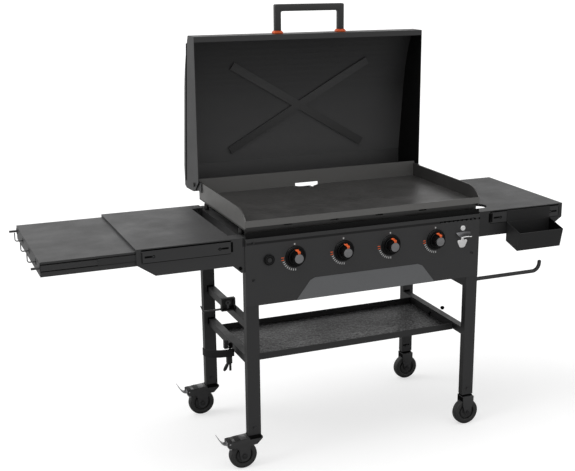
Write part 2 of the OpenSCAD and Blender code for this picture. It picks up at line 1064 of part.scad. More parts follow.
module accessory_rails() {
  front = shelf_front_y - rail_plate_out;
  start = side_x + rail_plate_start;
  end = shelf_out_x - rail_plate_inset;
  low = rail_plate_top - rail_plate_h;
  slot_z = (rail_plate_top + low) * half_share;
  color(black_paint) placed() both_sides()
    difference() {
      union() {
        box([start, front, low], [end, front + sheet, rail_plate_top]);
        box([start, front, low], [end, shelf_front_y, low + sheet]);
      }
      box([start + 2 * rail_slot_inset, front - overrun, slot_z - rail_slot_h * half_share],
        [start + 2 * rail_slot_inset + rail_slot_w, front + sheet + overrun * half_share,
          slot_z + rail_slot_h * half_share]);
      box([end - rail_slot_inset - rail_slot_w, front - overrun,
          slot_z - rail_slot_h * half_share],
        [end - rail_slot_inset, front + sheet + overrun * half_share,
          slot_z + rail_slot_h * half_share]);
    }
}

// Nested slides of the left shelf's extension, drawn for the front side of a right hand shelf

// A channel that opens away from its web; half_h is half its height
module channel(x_from, x_to, web_y, half_h, depth) {
  difference() {
    box([x_from, web_y, slide_z - half_h], [x_to, web_y + depth, slide_z + half_h]);
    box([x_from - overrun, web_y + slide_t, slide_z - half_h + slide_t],
      [x_to + overrun, web_y + depth + overrun, slide_z + half_h - slide_t]);
  }
}

// Both long sides of the shelf
module front_and_back() {
  middle = (shelf_front_y + shelf_back_y) * half_share;
  children();
  translate([0, 2 * middle, 0])
    mirror([0, 1, 0])
      children();
}

slide_z = ext_top - slide_drop;
fixed_half = channel_h * half_share;
middle_half = fixed_half - slide_t - gap;
inner_half = middle_half - slide_t - gap;
web_y = shelf_front_y + sheet;
middle_web_y = web_y + slide_t + gap;
inner_web_y = middle_web_y + slide_t + gap;
recess_y = inner_web_y + slide_d + gap;
ext_side_y = recess_y - recess_d;
ext_back_side_y = shelf_front_y + shelf_back_y - ext_side_y;

module fixed_slides() {
  color(bright_steel) placed() mirror([1, 0, 0]) front_and_back()
    channel(shelf_in_x + fixed_inset, shelf_out_x - fixed_inset, web_y, fixed_half, slide_d);
}

module middle_slides() {
  color(dark_steel) placed() mirror([1, 0, 0]) front_and_back()
    channel(shelf_out_x + middle_out - middle_len, shelf_out_x + middle_out,
      middle_web_y, middle_half, slide_d);
}

// Pull out extension: one bent sheet with a groove in each side, an end plate and inner slide bars
module shelf_extension() {
  low = ext_top - ext_h;
  groove_top = slide_z + fixed_half + groove_gap;
  groove_low = slide_z - fixed_half - groove_gap;
  back = ext_back_side_y;
  color(black_paint) placed() mirror([1, 0, 0])
    union() {
      side_profile(ext_out_x - ext_len, ext_len, thicken([
        [recess_y, low],
        [ext_side_y, low],
        [ext_side_y, groove_low],
        [recess_y, groove_low],
        [recess_y, groove_top],
        [ext_side_y, groove_top],
        [ext_side_y, ext_top],
        [back, ext_top],
        [back, groove_top],
        [back - recess_d, groove_top],
        [back - recess_d, groove_low],
        [back, groove_low],
        [back, low],
        [back - recess_d, low]
      ], -sheet));
      box([ext_out_x - sheet, ext_side_y, low], [ext_out_x, back, ext_top]);
      front_and_back()
        box([ext_out_x - ext_len, inner_web_y, slide_z - inner_half],
          [ext_out_x - sheet, recess_y, slide_z + inner_half]);
    }
}

// Wire hooks on the extension's end: three with tips turned up, two plain pegs at the corners
hook_ys = [ext_back_side_y - hook_first, ext_back_side_y - hook_first - hook_pitch,
  ext_back_side_y - hook_first - 2 * hook_pitch, ext_back_side_y - hook_first - 3 * hook_pitch,
  ext_side_y + hook_first * half_share];

module tool_hooks() {
  color(black_paint) placed() mirror([1, 0, 0])
    for (i = [0 : 4])
      translate([ext_out_x, hook_ys[i], hook_z])
        union() {
          box([0, -hook_plate_w * half_share, -hook_plate_h * half_share],
            [hook_plate_t, hook_plate_w * half_share, hook_plate_h * half_share]);
          if (i == 0 || i == 4)
            bar_x([0, 0, 0], hook_w * half_share + hook_t * half_share, hook_reach);
          else
            front_profile(-hook_w * half_share, hook_w, thicken(concat(
              [[0, -hook_t * half_share]],
              arc([hook_reach - hook_bend, hook_bend - hook_t * half_share],
                hook_bend, -90, 0, arc_steps),
              [[hook_reach, hook_tip]]
            ), hook_t));
        }
}

// Rod for a paper roll on the right front leg, with its end turned up
module towel_rod() {
  start = [side_x, front_y + rod_in, rod_z];
  color(black_paint) placed()
    translate(start)
      union() {
        bar_x([0, 0, 0], rod_plate_r, rod_plate_t);
        bar_x([0, 0, 0], rod_d * half_share, rod_straight);
        translate([rod_straight, 0, rod_bend])
          rotate([90, 90, 0])
            rotate_extrude(angle = rod_turn)
              translate([rod_bend, 0])
                circle(r = rod_d * half_share, $fn = small_fn);
        translate([rod_straight + rod_bend * sin(rod_turn), 0, rod_bend * (1 - cos(rod_turn))])
          rotate([0, 90 - rod_turn, 0])
            cylinder(r = rod_d * half_share, h = rod_tip, $fn = small_fn);
      }
}

// Tank fittings on the left rails, drawn for the right side and mirrored

module tank_hanger() {
  rail_out = leg_in_x + rail_size;
  top = tank_rail_top;
  arm_z = top + arm_rise;
  color(black_paint) placed() mirror([1, 0, 0])
    translate([0, hanger_y, 0])
      union() {
        front_profile(-hanger_w * half_share, hanger_w, thicken([
          [leg_in_x, top - rail_size],
          [leg_in_x, top],
          [rail_out, top],
          [rail_out, top - rail_size]
        ], hanger_t));
        front_profile(-hanger_w * half_share, hanger_w, thicken([
          [rail_out + hanger_t, top - rail_size],
          [rail_out + hanger_out, top - rail_size],
          [rail_out + hanger_out, top + hanger_up],
          [rail_out + hanger_t, top + hanger_up]
        ], hanger_t));
        front_profile(-hanger_w * half_share, arm_w, thicken([
          [rail_out + hanger_out - hanger_t, arm_z],
          [rail_out + hanger_out + arm_len, arm_z],
          [rail_out + hanger_out + arm_len + arm_t, arm_z + arm_tip]
        ], arm_t));
      }
}

// Bracket on the left lower rail with a V shaped rest for the tank
module tank_brace() {
  rail_out = leg_in_x + rail_size;
  top = lower_rail_top;
  screw_x = rail_out + brace_out * half_share + brace_t;
  color(black_paint) placed() mirror([1, 0, 0])
    translate([0, brace_y, 0])
      union() {
        box([rail_out, -brace_w * half_share, top - rail_size],
          [rail_out + brace_t, brace_w * half_share, top]);
        difference() {
          box([rail_out, -brace_w * half_share, top - rail_size * half_share],
            [rail_out + brace_t + brace_out, brace_w * half_share,
              top - rail_size * half_share + brace_t]);
          bar_z([screw_x, 0, top - rail_size], screw_r + running, rail_size);
        }
        box([rail_out, brace_w * half_share - brace_t, cradle_z],
          [rail_out + brace_t, brace_w * half_share, top - rail_size]);
        translate([rail_out + cradle_near, 0, cradle_z])
          linear_extrude(cradle_h)
            polygon(thicken([
              [cradle_far - cradle_near, brace_w * half_share + cradle_side],
              [cradle_near, brace_w * half_share + cradle_side * cradle_bend_share],
              [0, brace_w * half_share],
              [-cradle_near, brace_w * half_share]
            ], cradle_t));
      }
}

module brace_screw() {
  rail_out = leg_in_x + rail_size;
  head_z = lower_rail_top - rail_size * half_share + brace_t + gap;
  color(black_paint) placed() mirror([1, 0, 0])
    translate([rail_out + brace_out * half_share + brace_t, brace_y, head_z])
      union() {
        cylinder(r = screw_r + screw_r * half_share, h = screw_r);
        bar_z([0, 0, -screw_drop], screw_r, screw_drop);
        bar_z([0, 0, -screw_drop - screw_grip_h], screw_grip_r, screw_grip_h);
        box([-paddle_t * half_share, -paddle_w * half_share,
            -screw_drop - screw_grip_h - paddle_h],
          [paddle_t * half_share, paddle_w * half_share, -screw_drop - screw_grip_h]);
      }
}

// Caddy: a sloping bin on a back plate that hooks over the rail
caddy_z = caddy_back_top - caddy_h;

module caddy() {
  top = rail_plate_top + gap;
  half = caddy_w * half_share;
  back = caddy_back_y;
  rear = shelf_front_y - rail_plate_out - gap;
  hook_back = shelf_front_y - rail_plate_out + sheet + gap + caddy_t;
  outline = [
    [back, caddy_z],
    [back, caddy_back_top],
    [back - caddy_d, caddy_back_top - caddy_d * tan(caddy_tilt)],
    [back - caddy_foot_d, caddy_z - caddy_foot_d * tan(caddy_tilt)]
  ];
  raised = [for (i = [0 : 3]) outline[i] + [0, i == 1 || i == 2 ? 2 * caddy_t : 0]];
  color(black_paint) placed()
    translate([caddy_x, 0, 0])
      union() {
        difference() {
          side_profile(-half, caddy_w, outline);
          side_profile(caddy_t - half, caddy_w - 2 * caddy_t, inset(raised, caddy_t));
        }
        box([-half, back, caddy_z], [half, rear, top]);
        side_profile(-half, caddy_w, [
          [back, top],
          [rear, top],
          [hook_back - caddy_t, top],
          [hook_back - caddy_t, top - caddy_hook],
          [hook_back, top - caddy_hook],
          [hook_back, top + caddy_t],
          [back, top + caddy_t]
        ]);
      }
}

// Grease cup behind the plate, and the bracket whose ledges carry its rim

cup_y = back_y + sheet + cup_back;

// A tapered block from the cup's rim down, shrunk by d on every side
module cup_block(d, top, low) {
  half = cup_w * half_share;
  foot = half * cup_taper_share;
  slope = (half - foot) / cup_h;
  over = top - cup_top;
  lift = low - cup_top + cup_h;
  intersection() {
    front_profile(cup_y + d, cup_d - 2 * d, [
      [-half - slope * over + d, top],
      [-foot - slope * lift + d, low],
      [foot + slope * lift - d, low],
      [half + slope * over - d, top]
    ]);
    side_profile(-cup_w, 2 * cup_w, [
      [cup_y + d, top],
      [cup_y + d, low],
      [cup_y + cup_d - half + foot + slope * lift - d, low],
      [cup_y + cup_d + slope * over - d, top]
    ]);
  }
}

module grease_cup() {
  half = cup_w * half_share;
  color(bright_steel) placed()
    translate([drain_x, 0, 0])
      difference() {
        union() {
          cup_block(0, cup_top, cup_top - cup_h);
          box([-half - cup_rim, cup_y, cup_top - cup_t],
            [half + cup_rim, cup_y + cup_d + cup_rim, cup_top]);
        }
        cup_block(cup_t, cup_top + overrun, cup_top - cup_h + cup_t);
      }
}

module cup_bracket() {
  inner = cup_w * half_share + gap;
  under = cup_top - cup_t - gap;
  behind = back_y + sheet;
  color(black_paint) placed()
    translate([drain_x, 0, 0])
      union() {
        box([-inner - ledge_w, behind, panel_top - ledge_low],
          [inner + ledge_w, behind + ledge_t, panel_top]);
        both_sides()
          union() {
            box([inner, behind, panel_top - ledge_low],
              [inner + ledge_t, behind + ledge_t, under]);
            side_profile(inner, ledge_t, [
              [behind, panel_top - ledge_low],
              [behind, under],
              [behind + cup_back + cup_d, under],
              [behind + cup_back + cup_d, under - ledge_w]
            ]);
          }
      }
}

// Griddle plate

module griddle_plate() {
  run_r = (wall_run * wall_run + (side_wall_h - front_lip_h) * (side_wall_h - front_lip_h))
    / (2 * (side_wall_h - front_lip_h));
  sweep = asin(wall_run / run_r);
  top = cook_h + side_wall_h;
  low = cook_h - wall_skirt;
  wall = concat(
    [[plate_front_y, cook_h - lip_skirt], [surface_front_y, low], [plate_back_y, low],
      [plate_back_y, top]],
    arc([plate_front_y + wall_run, top - run_r], run_r, 90, 90 + sweep, arc_steps)
  );
  color(dark_steel) placed()
    union() {
      difference() {
        union() {
          box([-plate_side_x, plate_front_y, plate_under],
            [plate_side_x, plate_back_y, cook_h]);
          box([-plate_side_x, plate_front_y, cook_h - lip_skirt],
            [plate_side_x, surface_front_y, cook_h + front_lip_h]);
          box([-plate_side_x, surface_back_y, low],
            [plate_side_x, plate_back_y, cook_h + rear_wall_h]);
          both_sides()
            side_profile(plate_side_x - plate_t, plate_t, wall);
        }
        drain_cuts(low);
      }
      drain_chute();
      wind_guard();
      both_sides()
        union() {
          plate_foot(foot_front_y);
          plate_foot(foot_back_y);
        }
    }
}

// The slot in the rear wall and the pointed notch in the surface before it
module drain_cuts(low) {
  half = drain_w * half_share;
  box([drain_x - half, surface_back_y, low - overrun],
    [drain_x + half, plate_back_y + overrun, cook_h + drain_h]);
  translate([0, 0, plate_under - overrun])
    linear_extrude(plate_t + 2 * overrun)
      polygon([
        [drain_x - half, surface_back_y + overrun],
        [drain_x - half, surface_back_y],
        [drain_x, surface_back_y - drain_point],
        [drain_x + half, surface_back_y],
        [drain_x + half, surface_back_y + overrun]
      ]);
}

// Open chute below the slot that leads the grease to the cup
module drain_chute() {
  start = surface_back_y - drain_point - spout_wall;
  end = plate_back_y + spout_len;
  half = drain_w * half_share;
  outline = [
    [start, plate_under],
    [start, plate_under - spout_front],
    [end, plate_under - spout_end],
    [end, plate_under - spout_wall_drop],
    [plate_back_y, plate_under]
  ];
  difference() {
    side_profile(drain_x - half - spout_wall, drain_w + 2 * spout_wall, outline);
    side_profile(drain_x - half, drain_w, [
      [start + spout_wall, plate_under + overrun],
      [start + spout_wall, plate_under - spout_front + spout_wall],
      [end + overrun, plate_under - spout_end + spout_wall],
      [end + overrun, plate_under + overrun]
    ]);
  }
}

// Slotted strip below the front lip that keeps the wind off the burners
module wind_guard() {
  y = plate_front_y + guard_inset;
  slot_z = plate_under - guard_slot_drop;
  difference() {
    box([plate_t - plate_side_x, y, plate_under - guard_drop],
      [plate_side_x - plate_t, y + guard_t, plate_under]);
    for (i = [0 : guard_slots - 1]) {
      x = (i - (guard_slots - 1) * half_share) * guard_slot_pitch + guard_slot_shift;
      box([x - guard_slot_w * half_share, y - overrun, slot_z - guard_slot_h],
        [x + guard_slot_w * half_share, y + guard_t + overrun, slot_z]);
    }
  }
}

module plate_foot(y) {
  neck = plate_under - leg_top - gap;
  bar_z([plate_side_x - foot_inset, y, leg_top + gap], foot_r, neck * half_share);
  bar_z([plate_side_x - foot_inset, y, leg_top + gap], foot_r * foot_neck_share, neck);
}

// Hinges between the plate's side walls and the hood
module hinge_brackets() {
  front = plate_back_y - bracket_grip;
  low = pin_z - bracket_h * half_share;
  color(black_paint) placed() both_sides()
    difference() {
      union() {
        box([plate_side_x, front, low], [plate_side_x + bracket_t, pin_y, low + bracket_h]);
        bar_x([plate_side_x, pin_y, pin_z], bracket_h * half_share, bracket_t);
      }
      bar_x([plate_side_x - overrun, pin_y, pin_z], hinge_r + running,
        bracket_t + 2 * overrun);
    }
}

module hinge_bolts() {
  sheet_in = hood_side_x - hood_t;
  color(dark_steel) placed() both_sides()
    union() {
      bar_x([plate_side_x - nut_t, pin_y, pin_z], hinge_r,
        hood_side_x + gap + head_t - plate_side_x + nut_t);
      bar_x([hood_side_x + gap, pin_y, pin_z], head_r, head_t);
      bar_x([plate_side_x + bracket_t, pin_y, pin_z], head_r,
        sheet_in - gap - plate_side_x - bracket_t);
      translate([plate_side_x - nut_t, pin_y, pin_z])
        rotate([0, 90, 0])
          cylinder(r = nut_r, h = nut_t, $fn = 6);
    }
}

// Hood

hood_front = [-hood_rim_drop, hood_reach];
crown_top = [hood_front_h - hood_rim_drop, hood_reach];
hood_back = [hood_rear_h - hood_rim_drop, tail_z];
crown_r = (hood_back[0] - crown_top[0] - (crown_top[1] - tail_z) * tan(hood_slope))
  / (cos(hood_slope) - cos(crown_end) - (sin(crown_end) - sin(hood_slope)) * tan(hood_slope));
tail_end = hood_back - [hood_tail * tan(hood_tail_slope), hood_tail];

// The sheet's way from the bottom edge round the back and over the top to the front flange
function hood_path() = concat(
  [
    [rim_cut_y + heel_y - hood_rim_drop, heel_z - hood_drop],
    [tail_end[0] - tail_cut_y, -hood_drop],
    tail_end,
    hood_back
  ],
  arc(crown_top - crown_r * [cos(crown_end), sin(crown_end)], crown_r, hood_slope, crown_end,
    arc_steps),
  [hood_front]
);

// One crossed pair of bars, centred on the hood's back
module cross(width, run) {
  translate([0, 0, rib_mid])
    for (side = [-1, 1])
      rotate([0, side * atan(rib_half_h / rib_half_w), 0])
        box([-run, 0, -width * half_share], [run, hood_rear_h, width * half_share]);
}

module hood_shell() {
  path = hood_path();
  run = norm([rib_half_w, rib_half_h]);
  side = concat(path, [
    [-hood_rim_drop, rim_cut_z - hood_drop],
    [rim_cut_y - hood_rim_drop, heel_rise - hood_drop]
  ]);
  flanged = concat(path, [[-hood_rim_drop, hood_reach - rim_flange]]);
  width = 2 * hood_side_x;
  color(black_paint) placed()
    translate([0, pin_y, pin_z])
      difference() {
        union() {
          side_profile(-hood_side_x, width, thicken(flanged, hood_t));
          side_profile(-hood_side_x, hood_t, side);
          side_profile(hood_side_x - hood_t, hood_t, side);
          intersection() {
            cross(rib_w, run);
            side_profile(-hood_side_x, width, thicken(path, hood_t + rib_h));
          }
        }
        intersection() {
          cross(rib_w - 2 * hood_t, run - hood_t);
          side_profile(-hood_side_x, width, thicken(path, rib_h));
        }
        bar_x([-hood_side_x - overrun, 0, 0], hinge_r + running, hood_t + 2 * overrun);
        bar_x([hood_side_x - hood_t - overrun, 0, 0], hinge_r + running,
          hood_t + 2 * overrun);
      }
}

// Handle on the hood's front face: collars, posts with corner blocks, and a bar in their bores
handle_y = pin_y + (hood_front[0] + crown_top[0]) * half_share;
handle_z = pin_z + hood_reach;

module handle_collars() {
  color(orange) placed() both_sides()
    translate([handle_span * half_share, handle_y, handle_z])
      difference() {
        box([-handle_base_w * half_share, -handle_base_w * half_share, 0],
          [handle_base_w * half_share, handle_base_w * half_share, handle_base_t]);
        box([-post_w * half_share - gap, -post_w * half_share - gap, -overrun],
          [post_w * half_share + gap, post_w * half_share + gap,
            handle_base_t + overrun]);
      }
}

module handle_posts() {
  half = post_w * half_share;
  bar_z_at = handle_h - handle_block_h * half_share;
  color(black_paint) placed() both_sides()
    translate([handle_span * half_share, handle_y, handle_z])
      difference() {
        union() {
          box([-half, -half, 0], [half, half, handle_h]);
          box([half - handle_block_w, -half, handle_h - handle_block_h],
            [half, half, handle_h]);
        }
        bar_x([half - handle_block_w - overrun, 0, bar_z_at], bar_d * half_share + running,
          handle_block_w * half_share + overrun);
      }
}

module handle_bar() {
  half = handle_span * half_share + post_w * half_share - handle_block_w * half_share - gap;
  color(black_paint) placed()
    bar_x([-half, handle_y, handle_z + handle_h - handle_block_h * half_share],
      bar_d * half_share, 2 * half);
}

// Casters

fork_in = wheel_w * half_share + fork_gap;
fork_out = fork_in + fork_t;
caster_y = back_y - leg_t * half_share;

// Block that fills the end of a leg tube
module leg_plug() {
  half_x = leg_w * half_share - tube_wall;
  half_y = leg_t * half_share - tube_wall;
  box([-half_x, -half_y, leg_bottom], [half_x, half_y, leg_bottom + socket_h]);
}

module caster_sockets() {
  color(dark_steel) placed()
    for (y = [-caster_y, caster_y])
      translate([-leg_x, y, 0])
        difference() {
          union() {
            leg_plug();
            box([-leg_w * half_share, -leg_t * half_share, leg_bottom - socket_t],
              [leg_w * half_share, leg_t * half_share, leg_bottom]);
          }
          bar_z([0, 0, leg_bottom - socket_t - overrun], stem_pin_r + running,
            socket_h + socket_t + 2 * overrun);
          caster_bolt_bore();
        }
}

// Fork that holds a fixed wheel below a right leg
module rigid_forks() {
  arm_low = wheel_r + wheel_r * half_share;
  color(dark_steel) placed()
    for (y = [-caster_y, caster_y])
      translate([leg_x, y, 0])
        difference() {
          union() {
            leg_plug();
            box([-fork_wing, -fork_out, leg_bottom - fork_t],
              [fork_wing, fork_out, leg_bottom]);
            for (side = [-fork_out, fork_in])
              union() {
                front_profile(side, fork_t, [
                  [-fork_wing, leg_bottom],
                  [-fork_wing, arm_low],
                  [-fork_boss_r, wheel_r],
                  [fork_boss_r, wheel_r],
                  [fork_wing, arm_low],
                  [fork_wing, leg_bottom]
                ]);
                bar_y([0, side, wheel_r], fork_boss_r, fork_t);
              }
          }
          bar_y([0, -fork_out - overrun, wheel_r], axle_r + running,
            2 * (fork_out + overrun));
          caster_bolt_bore();
        }
}

// Bolt through a fork and its wheel
module axle() {
  bar_y([0, -fork_out - axle_head_t, 0], axle_r, 2 * (fork_out + axle_head_t));
  bar_y([0, -fork_out - axle_head_t, 0], 2 * axle_r, axle_head_t);
  bar_y([0, fork_out, 0], 2 * axle_r, axle_head_t);
}

module rigid_axles() {
  color(bright_steel) placed()
    for (y = [-caster_y, caster_y])
      translate([leg_x, y, wheel_r])
        axle();
}

// A swivel fork is drawn with its wheel trailing to +X, then turned to trail outwards
module swivelled(y) {
  color(dark_steel) placed()
    translate([-leg_x, y, 0])
      mirror([1, 0, 0])
        children();
}

module swivel_fork(y) {
  crown = [[-fork_wing, fork_top_z], [fork_wing, fork_top_z], [fork_nose, fork_nose_z]];
  swivelled(y)
    union() {
      difference() {
        union() {
          bar_z([0, 0, fork_top_z - fork_t], stem_pin_r,
            leg_bottom + socket_h - fork_top_z + fork_t);
          front_profile(-fork_out, 2 * fork_out, thicken(crown, -fork_t));
          for (side = [-fork_out, fork_in])
            union() {
              front_profile(side, fork_t, concat(crown, [
                [fork_nose, fork_nose_z - fork_nose_h],
                [fork_nose - fork_nose_cut, fork_nose_z - fork_nose_h - fork_nose_cut],
                [trail + fork_boss_r, wheel_r],
                [trail - fork_boss_r, wheel_r],
                [-fork_wing, fork_top_z - fork_shoulder]
              ]));
              bar_y([trail, side, wheel_r], fork_boss_r, fork_t);
            }
        }
        bar_y([trail, -fork_out - overrun, wheel_r], axle_r + running,
          2 * (fork_out + overrun));
        bar_y([pedal_pin_back, -fork_out - overrun, pedal_pin_z], pedal_pin_r + running,
          2 * (fork_out + overrun));
      }
      translate([trail, 0, wheel_r])
        axle();
    }
}

module swivel_fork_front() {
  swivel_fork(-caster_y);
}

module swivel_fork_rear() {
  swivel_fork(caster_y);
}

// Brake pedal: a bent tongue, a shoe over the tyre, and the pin it tilts on
module brake_pedal(y) {
  swivelled(y)
    translate([pedal_pin_back, 0, pedal_pin_z])
      union() {
        bar_y([0, -fork_out, 0], pedal_pin_r, 2 * fork_out);
        bar_y([0, -pedal_w * half_share, 0], pedal_pin_r + pedal_t, pedal_w);
        front_profile(-pedal_w * half_share, pedal_w, [
          [-pedal_pin_r - pedal_t, 0],
          [-shoe_back, -shoe_drop],
          [0, -shoe_drop],
          [pedal_pin_r + pedal_t, 0]
        ]);
        front_profile(-pedal_w * half_share, pedal_w, thicken(concat(
          [[0, -pedal_pin_r - pedal_t]],
          arc([pedal_flat, pedal_bend - pedal_pin_r - pedal_t], pedal_bend, -90, pedal_angle - 90,
            arc_steps),
          [[pedal_flat + pedal_bend * sin(pedal_angle) + pedal_tip * cos(pedal_angle),
            pedal_bend * (1 - cos(pedal_angle)) - pedal_pin_r - pedal_t
              + pedal_tip * sin(pedal_angle)]]
        ), pedal_t));
      }
}

module brake_pedal_front() {
  brake_pedal(-caster_y);
}

module brake_pedal_rear() {
  brake_pedal(caster_y);
}

// A wheel with a tyre, a recessed web and a hub that runs between the fork's arms
module wheel(x, y) {
  hub = fork_in - gap;
  half = wheel_w * half_share;
  web = wheel_web_t * half_share;
  bore = axle_r + running;
  color(rubber) placed()
    translate([x, y, wheel_r])
      rotate([90, 0, 0])
        rotate_extrude($fn = 2 * $fn)
          polygon([
            [bore, -hub],
            [wheel_hub_r, -hub],
            [wheel_hub_r + wheel_edge, -web],
            [wheel_r - tyre_t, -web],
            [wheel_r - tyre_t, -half],
            [wheel_r - wheel_edge, -half],
            [wheel_r, wheel_edge - half],
            [wheel_r, half - wheel_edge],
            [wheel_r - wheel_edge, half],
            [wheel_r - tyre_t, half],
            [wheel_r - tyre_t, web],
            [wheel_hub_r + wheel_edge, web],
            [wheel_hub_r, hub],
            [bore, hub]
          ]);
}

module wheel_left_front() {
  wheel(-leg_x - trail, -caster_y);
}

module wheel_left_rear() {
  wheel(-leg_x - trail, caster_y);
}

module wheel_right_front() {
  wheel(leg_x, -caster_y);
}

module wheel_right_rear() {
  wheel(leg_x, caster_y);
}

// Bolts

// A bolt along +X from outside, its head's seat at the start point
module bolt(r, shank, head, head_len) {
  rotate([0, 90, 0])
    union() {
      translate([0, 0, -shank])
        cylinder(r = r, h = shank, $fn = small_fn);
      cylinder(r = head, h = head_len, $fn = small_fn);
    }
}

// Shelf bolts through the tabs into the legs, and one bolt for each caster
module frame_bolts() {
  color(dark_steel) placed()
    both_sides() {
      for (y = [bolt_front_y, bolt_back_y])
        for (z = bolt_heights)
          translate([side_x + sheet, y, z])
            bolt(bolt_r, sheet + 2 * tube_wall, bolt_head_r, bolt_head_t);
      for (y = [-caster_y, caster_y])
        translate([leg_x, y - leg_t * half_share, leg_bottom + caster_bolt_up])
          rotate([0, 0, -90])
            bolt(caster_bolt_r, tube_wall + caster_bolt_in, bolt_head_r, bolt_head_t);
    }
}

module panel_screws() {
  color(dark_steel) placed()
    both_sides() {
      for (z = front_screws)
        translate([leg_x + screw_shift, panel_face, z])
          rotate([0, 0, -90])
            bolt(panel_screw_r, sheet + 2 * tube_wall, screw_head_r, screw_head_t);
      for (z = back_screws)
        translate([leg_x + screw_shift, back_y + sheet, z])
          rotate([0, 0, 90])
            bolt(panel_screw_r, sheet + 2 * tube_wall, screw_head_r, screw_head_t);
    }
}

left_leg_frame();
right_leg_frame();
side_panels();
front_panel();
back_panel();
heat_shield();
nameplate();
knob_bezels();
gas_valves();
gas_manifold();
gas_inlet();
burners();
igniter_electrodes();
igniter_module();
bottle_opener();
bottom_shelf();
left_shelf();
right_shelf();
accessory_rails();
fixed_slides();
caster_sockets();
rigid_forks();
rigid_axles();
towel_rod();
tank_hanger();
tank_brace();
cup_bracket();
frame_bolts();
panel_screws();
igniter_button();
valve_stem_1();
valve_stem_2();
valve_stem_3();
valve_stem_4();
knob_1();
knob_2();
knob_3();
knob_4();
griddle_plate();
hinge_brackets();
hinge_bolts();
hood_shell();
handle_posts();
handle_bar();
handle_collars();
middle_slides();
shelf_extension();
tool_hooks();
caddy();
grease_cup();
brace_screw();
swivel_fork_front();
swivel_fork_rear();
brake_pedal_front();
brake_pedal_rear();
wheel_left_front();
wheel_left_rear();
wheel_right_front();
wheel_right_rear();
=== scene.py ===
"""Looks of the outdoor griddle station: finishes for its CAD nodes, the dials' marks, knob caps and
pointers, the opener, the hood's handle, rail slots, the towel rod, the embossed tray floor, casters,
tank fittings, small bolts and the studio it stands in."""

import json
import math

import bpy
from mathutils import Matrix, Vector


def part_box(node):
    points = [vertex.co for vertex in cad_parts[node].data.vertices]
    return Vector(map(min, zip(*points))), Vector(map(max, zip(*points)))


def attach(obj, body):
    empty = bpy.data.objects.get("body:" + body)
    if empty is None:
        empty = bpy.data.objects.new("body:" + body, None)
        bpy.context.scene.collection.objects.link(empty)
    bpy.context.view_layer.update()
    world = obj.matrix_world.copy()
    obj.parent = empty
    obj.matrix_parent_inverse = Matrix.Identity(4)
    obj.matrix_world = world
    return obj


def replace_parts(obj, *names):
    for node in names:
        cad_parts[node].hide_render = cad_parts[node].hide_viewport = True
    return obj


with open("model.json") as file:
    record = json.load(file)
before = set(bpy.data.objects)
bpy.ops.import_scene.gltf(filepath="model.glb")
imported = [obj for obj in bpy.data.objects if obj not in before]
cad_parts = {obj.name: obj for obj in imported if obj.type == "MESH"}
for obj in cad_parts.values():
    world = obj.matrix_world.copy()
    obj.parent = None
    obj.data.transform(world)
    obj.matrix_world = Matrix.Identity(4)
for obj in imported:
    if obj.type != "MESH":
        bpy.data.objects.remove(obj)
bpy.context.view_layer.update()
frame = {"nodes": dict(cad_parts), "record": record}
NODES = frame["nodes"]
BODY_OF = {n: body for body, names in frame["record"]["behaviour"]["bodies"].items() for n in names}
MM = 0.001

# The cart's own middle in the row frame: drawing sizes are taken from there, in millimetres
PANEL_LOW, PANEL_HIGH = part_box("front_panel")
MIDDLE = Vector(((PANEL_LOW.x + PANEL_HIGH.x) / 2, PANEL_LOW.y + 268 * MM, 0))
FACE_Y = -268
SHELF_Y = -265
RAIL_Y = -268.5
KNOB_Z = 771
KNOB_XS = (-279, -93, 93, 279)
IGNITER = (-378, -275.2, KNOB_Z)
SCREWS = [(x, z) for z in (837, 702) for x in (-438, 438)]
SCREW_TOP = -270
CLAW_X, EYE_X, EYE_Z = 394, 392, 803


def at(x, y, z):
    """A point of the drawing, in millimetres from the cart's middle, as a place in the row frame."""
    return MIDDLE + Vector((x, y, z)) * MM


# Shader helpers

def socket_value(node, name, value):
    node.inputs[name].default_value = value


def new_group(name, inputs, outputs):
    """An empty node group with named sockets."""
    group = bpy.data.node_groups.new(name, "ShaderNodeTree")
    for label, kind, value in inputs:
        made = group.interface.new_socket(name=label, in_out="INPUT", socket_type="NodeSocket" + kind)
        made.default_value = value
    for label, kind in outputs:
        group.interface.new_socket(name=label, in_out="OUTPUT", socket_type="NodeSocket" + kind)
    nodes, links = group.nodes, group.links
    start, end = nodes.new("NodeGroupInput"), nodes.new("NodeGroupOutput")
    place = nodes.new("ShaderNodeTexCoord").outputs["Object"]
    return group, nodes, links, start, end, place


def noise(nodes, links, place, scale, detail=3.0, rough=0.55):
    made = nodes.new("ShaderNodeTexNoise")
    links.new(place, made.inputs["Vector"])
    if isinstance(scale, (int, float)):
        socket_value(made, "Scale", scale)
    else:
        links.new(scale, made.inputs["Scale"])
    socket_value(made, "Detail", detail)
    socket_value(made, "Roughness", rough)
    return made.outputs["Fac"]


def ramp(nodes, links, value, low, high, out_low=0.0, out_high=1.0):
    made = nodes.new("ShaderNodeMapRange")
    links.new(value, made.inputs["Value"])
    for name, number in (("From Min", low), ("From Max", high), ("To Min", out_low), ("To Max", out_high)):
        socket_value(made, name, number)
    return made.outputs["Result"]


def math_node(nodes, links, kind, a, b):
    made = nodes.new("ShaderNodeMath")
    made.operation = kind
    for i, value in enumerate((a, b)):
        if isinstance(value, (int, float)):
            made.inputs[i].default_value = value
        else:
            links.new(value, made.inputs[i])
    return made.outputs[0]


def times(nodes, links, a, b):
    return math_node(nodes, links, "MULTIPLY", a, b)


def less(nodes, links, a, b):
    return math_node(nodes, links, "SUBTRACT", a, b)


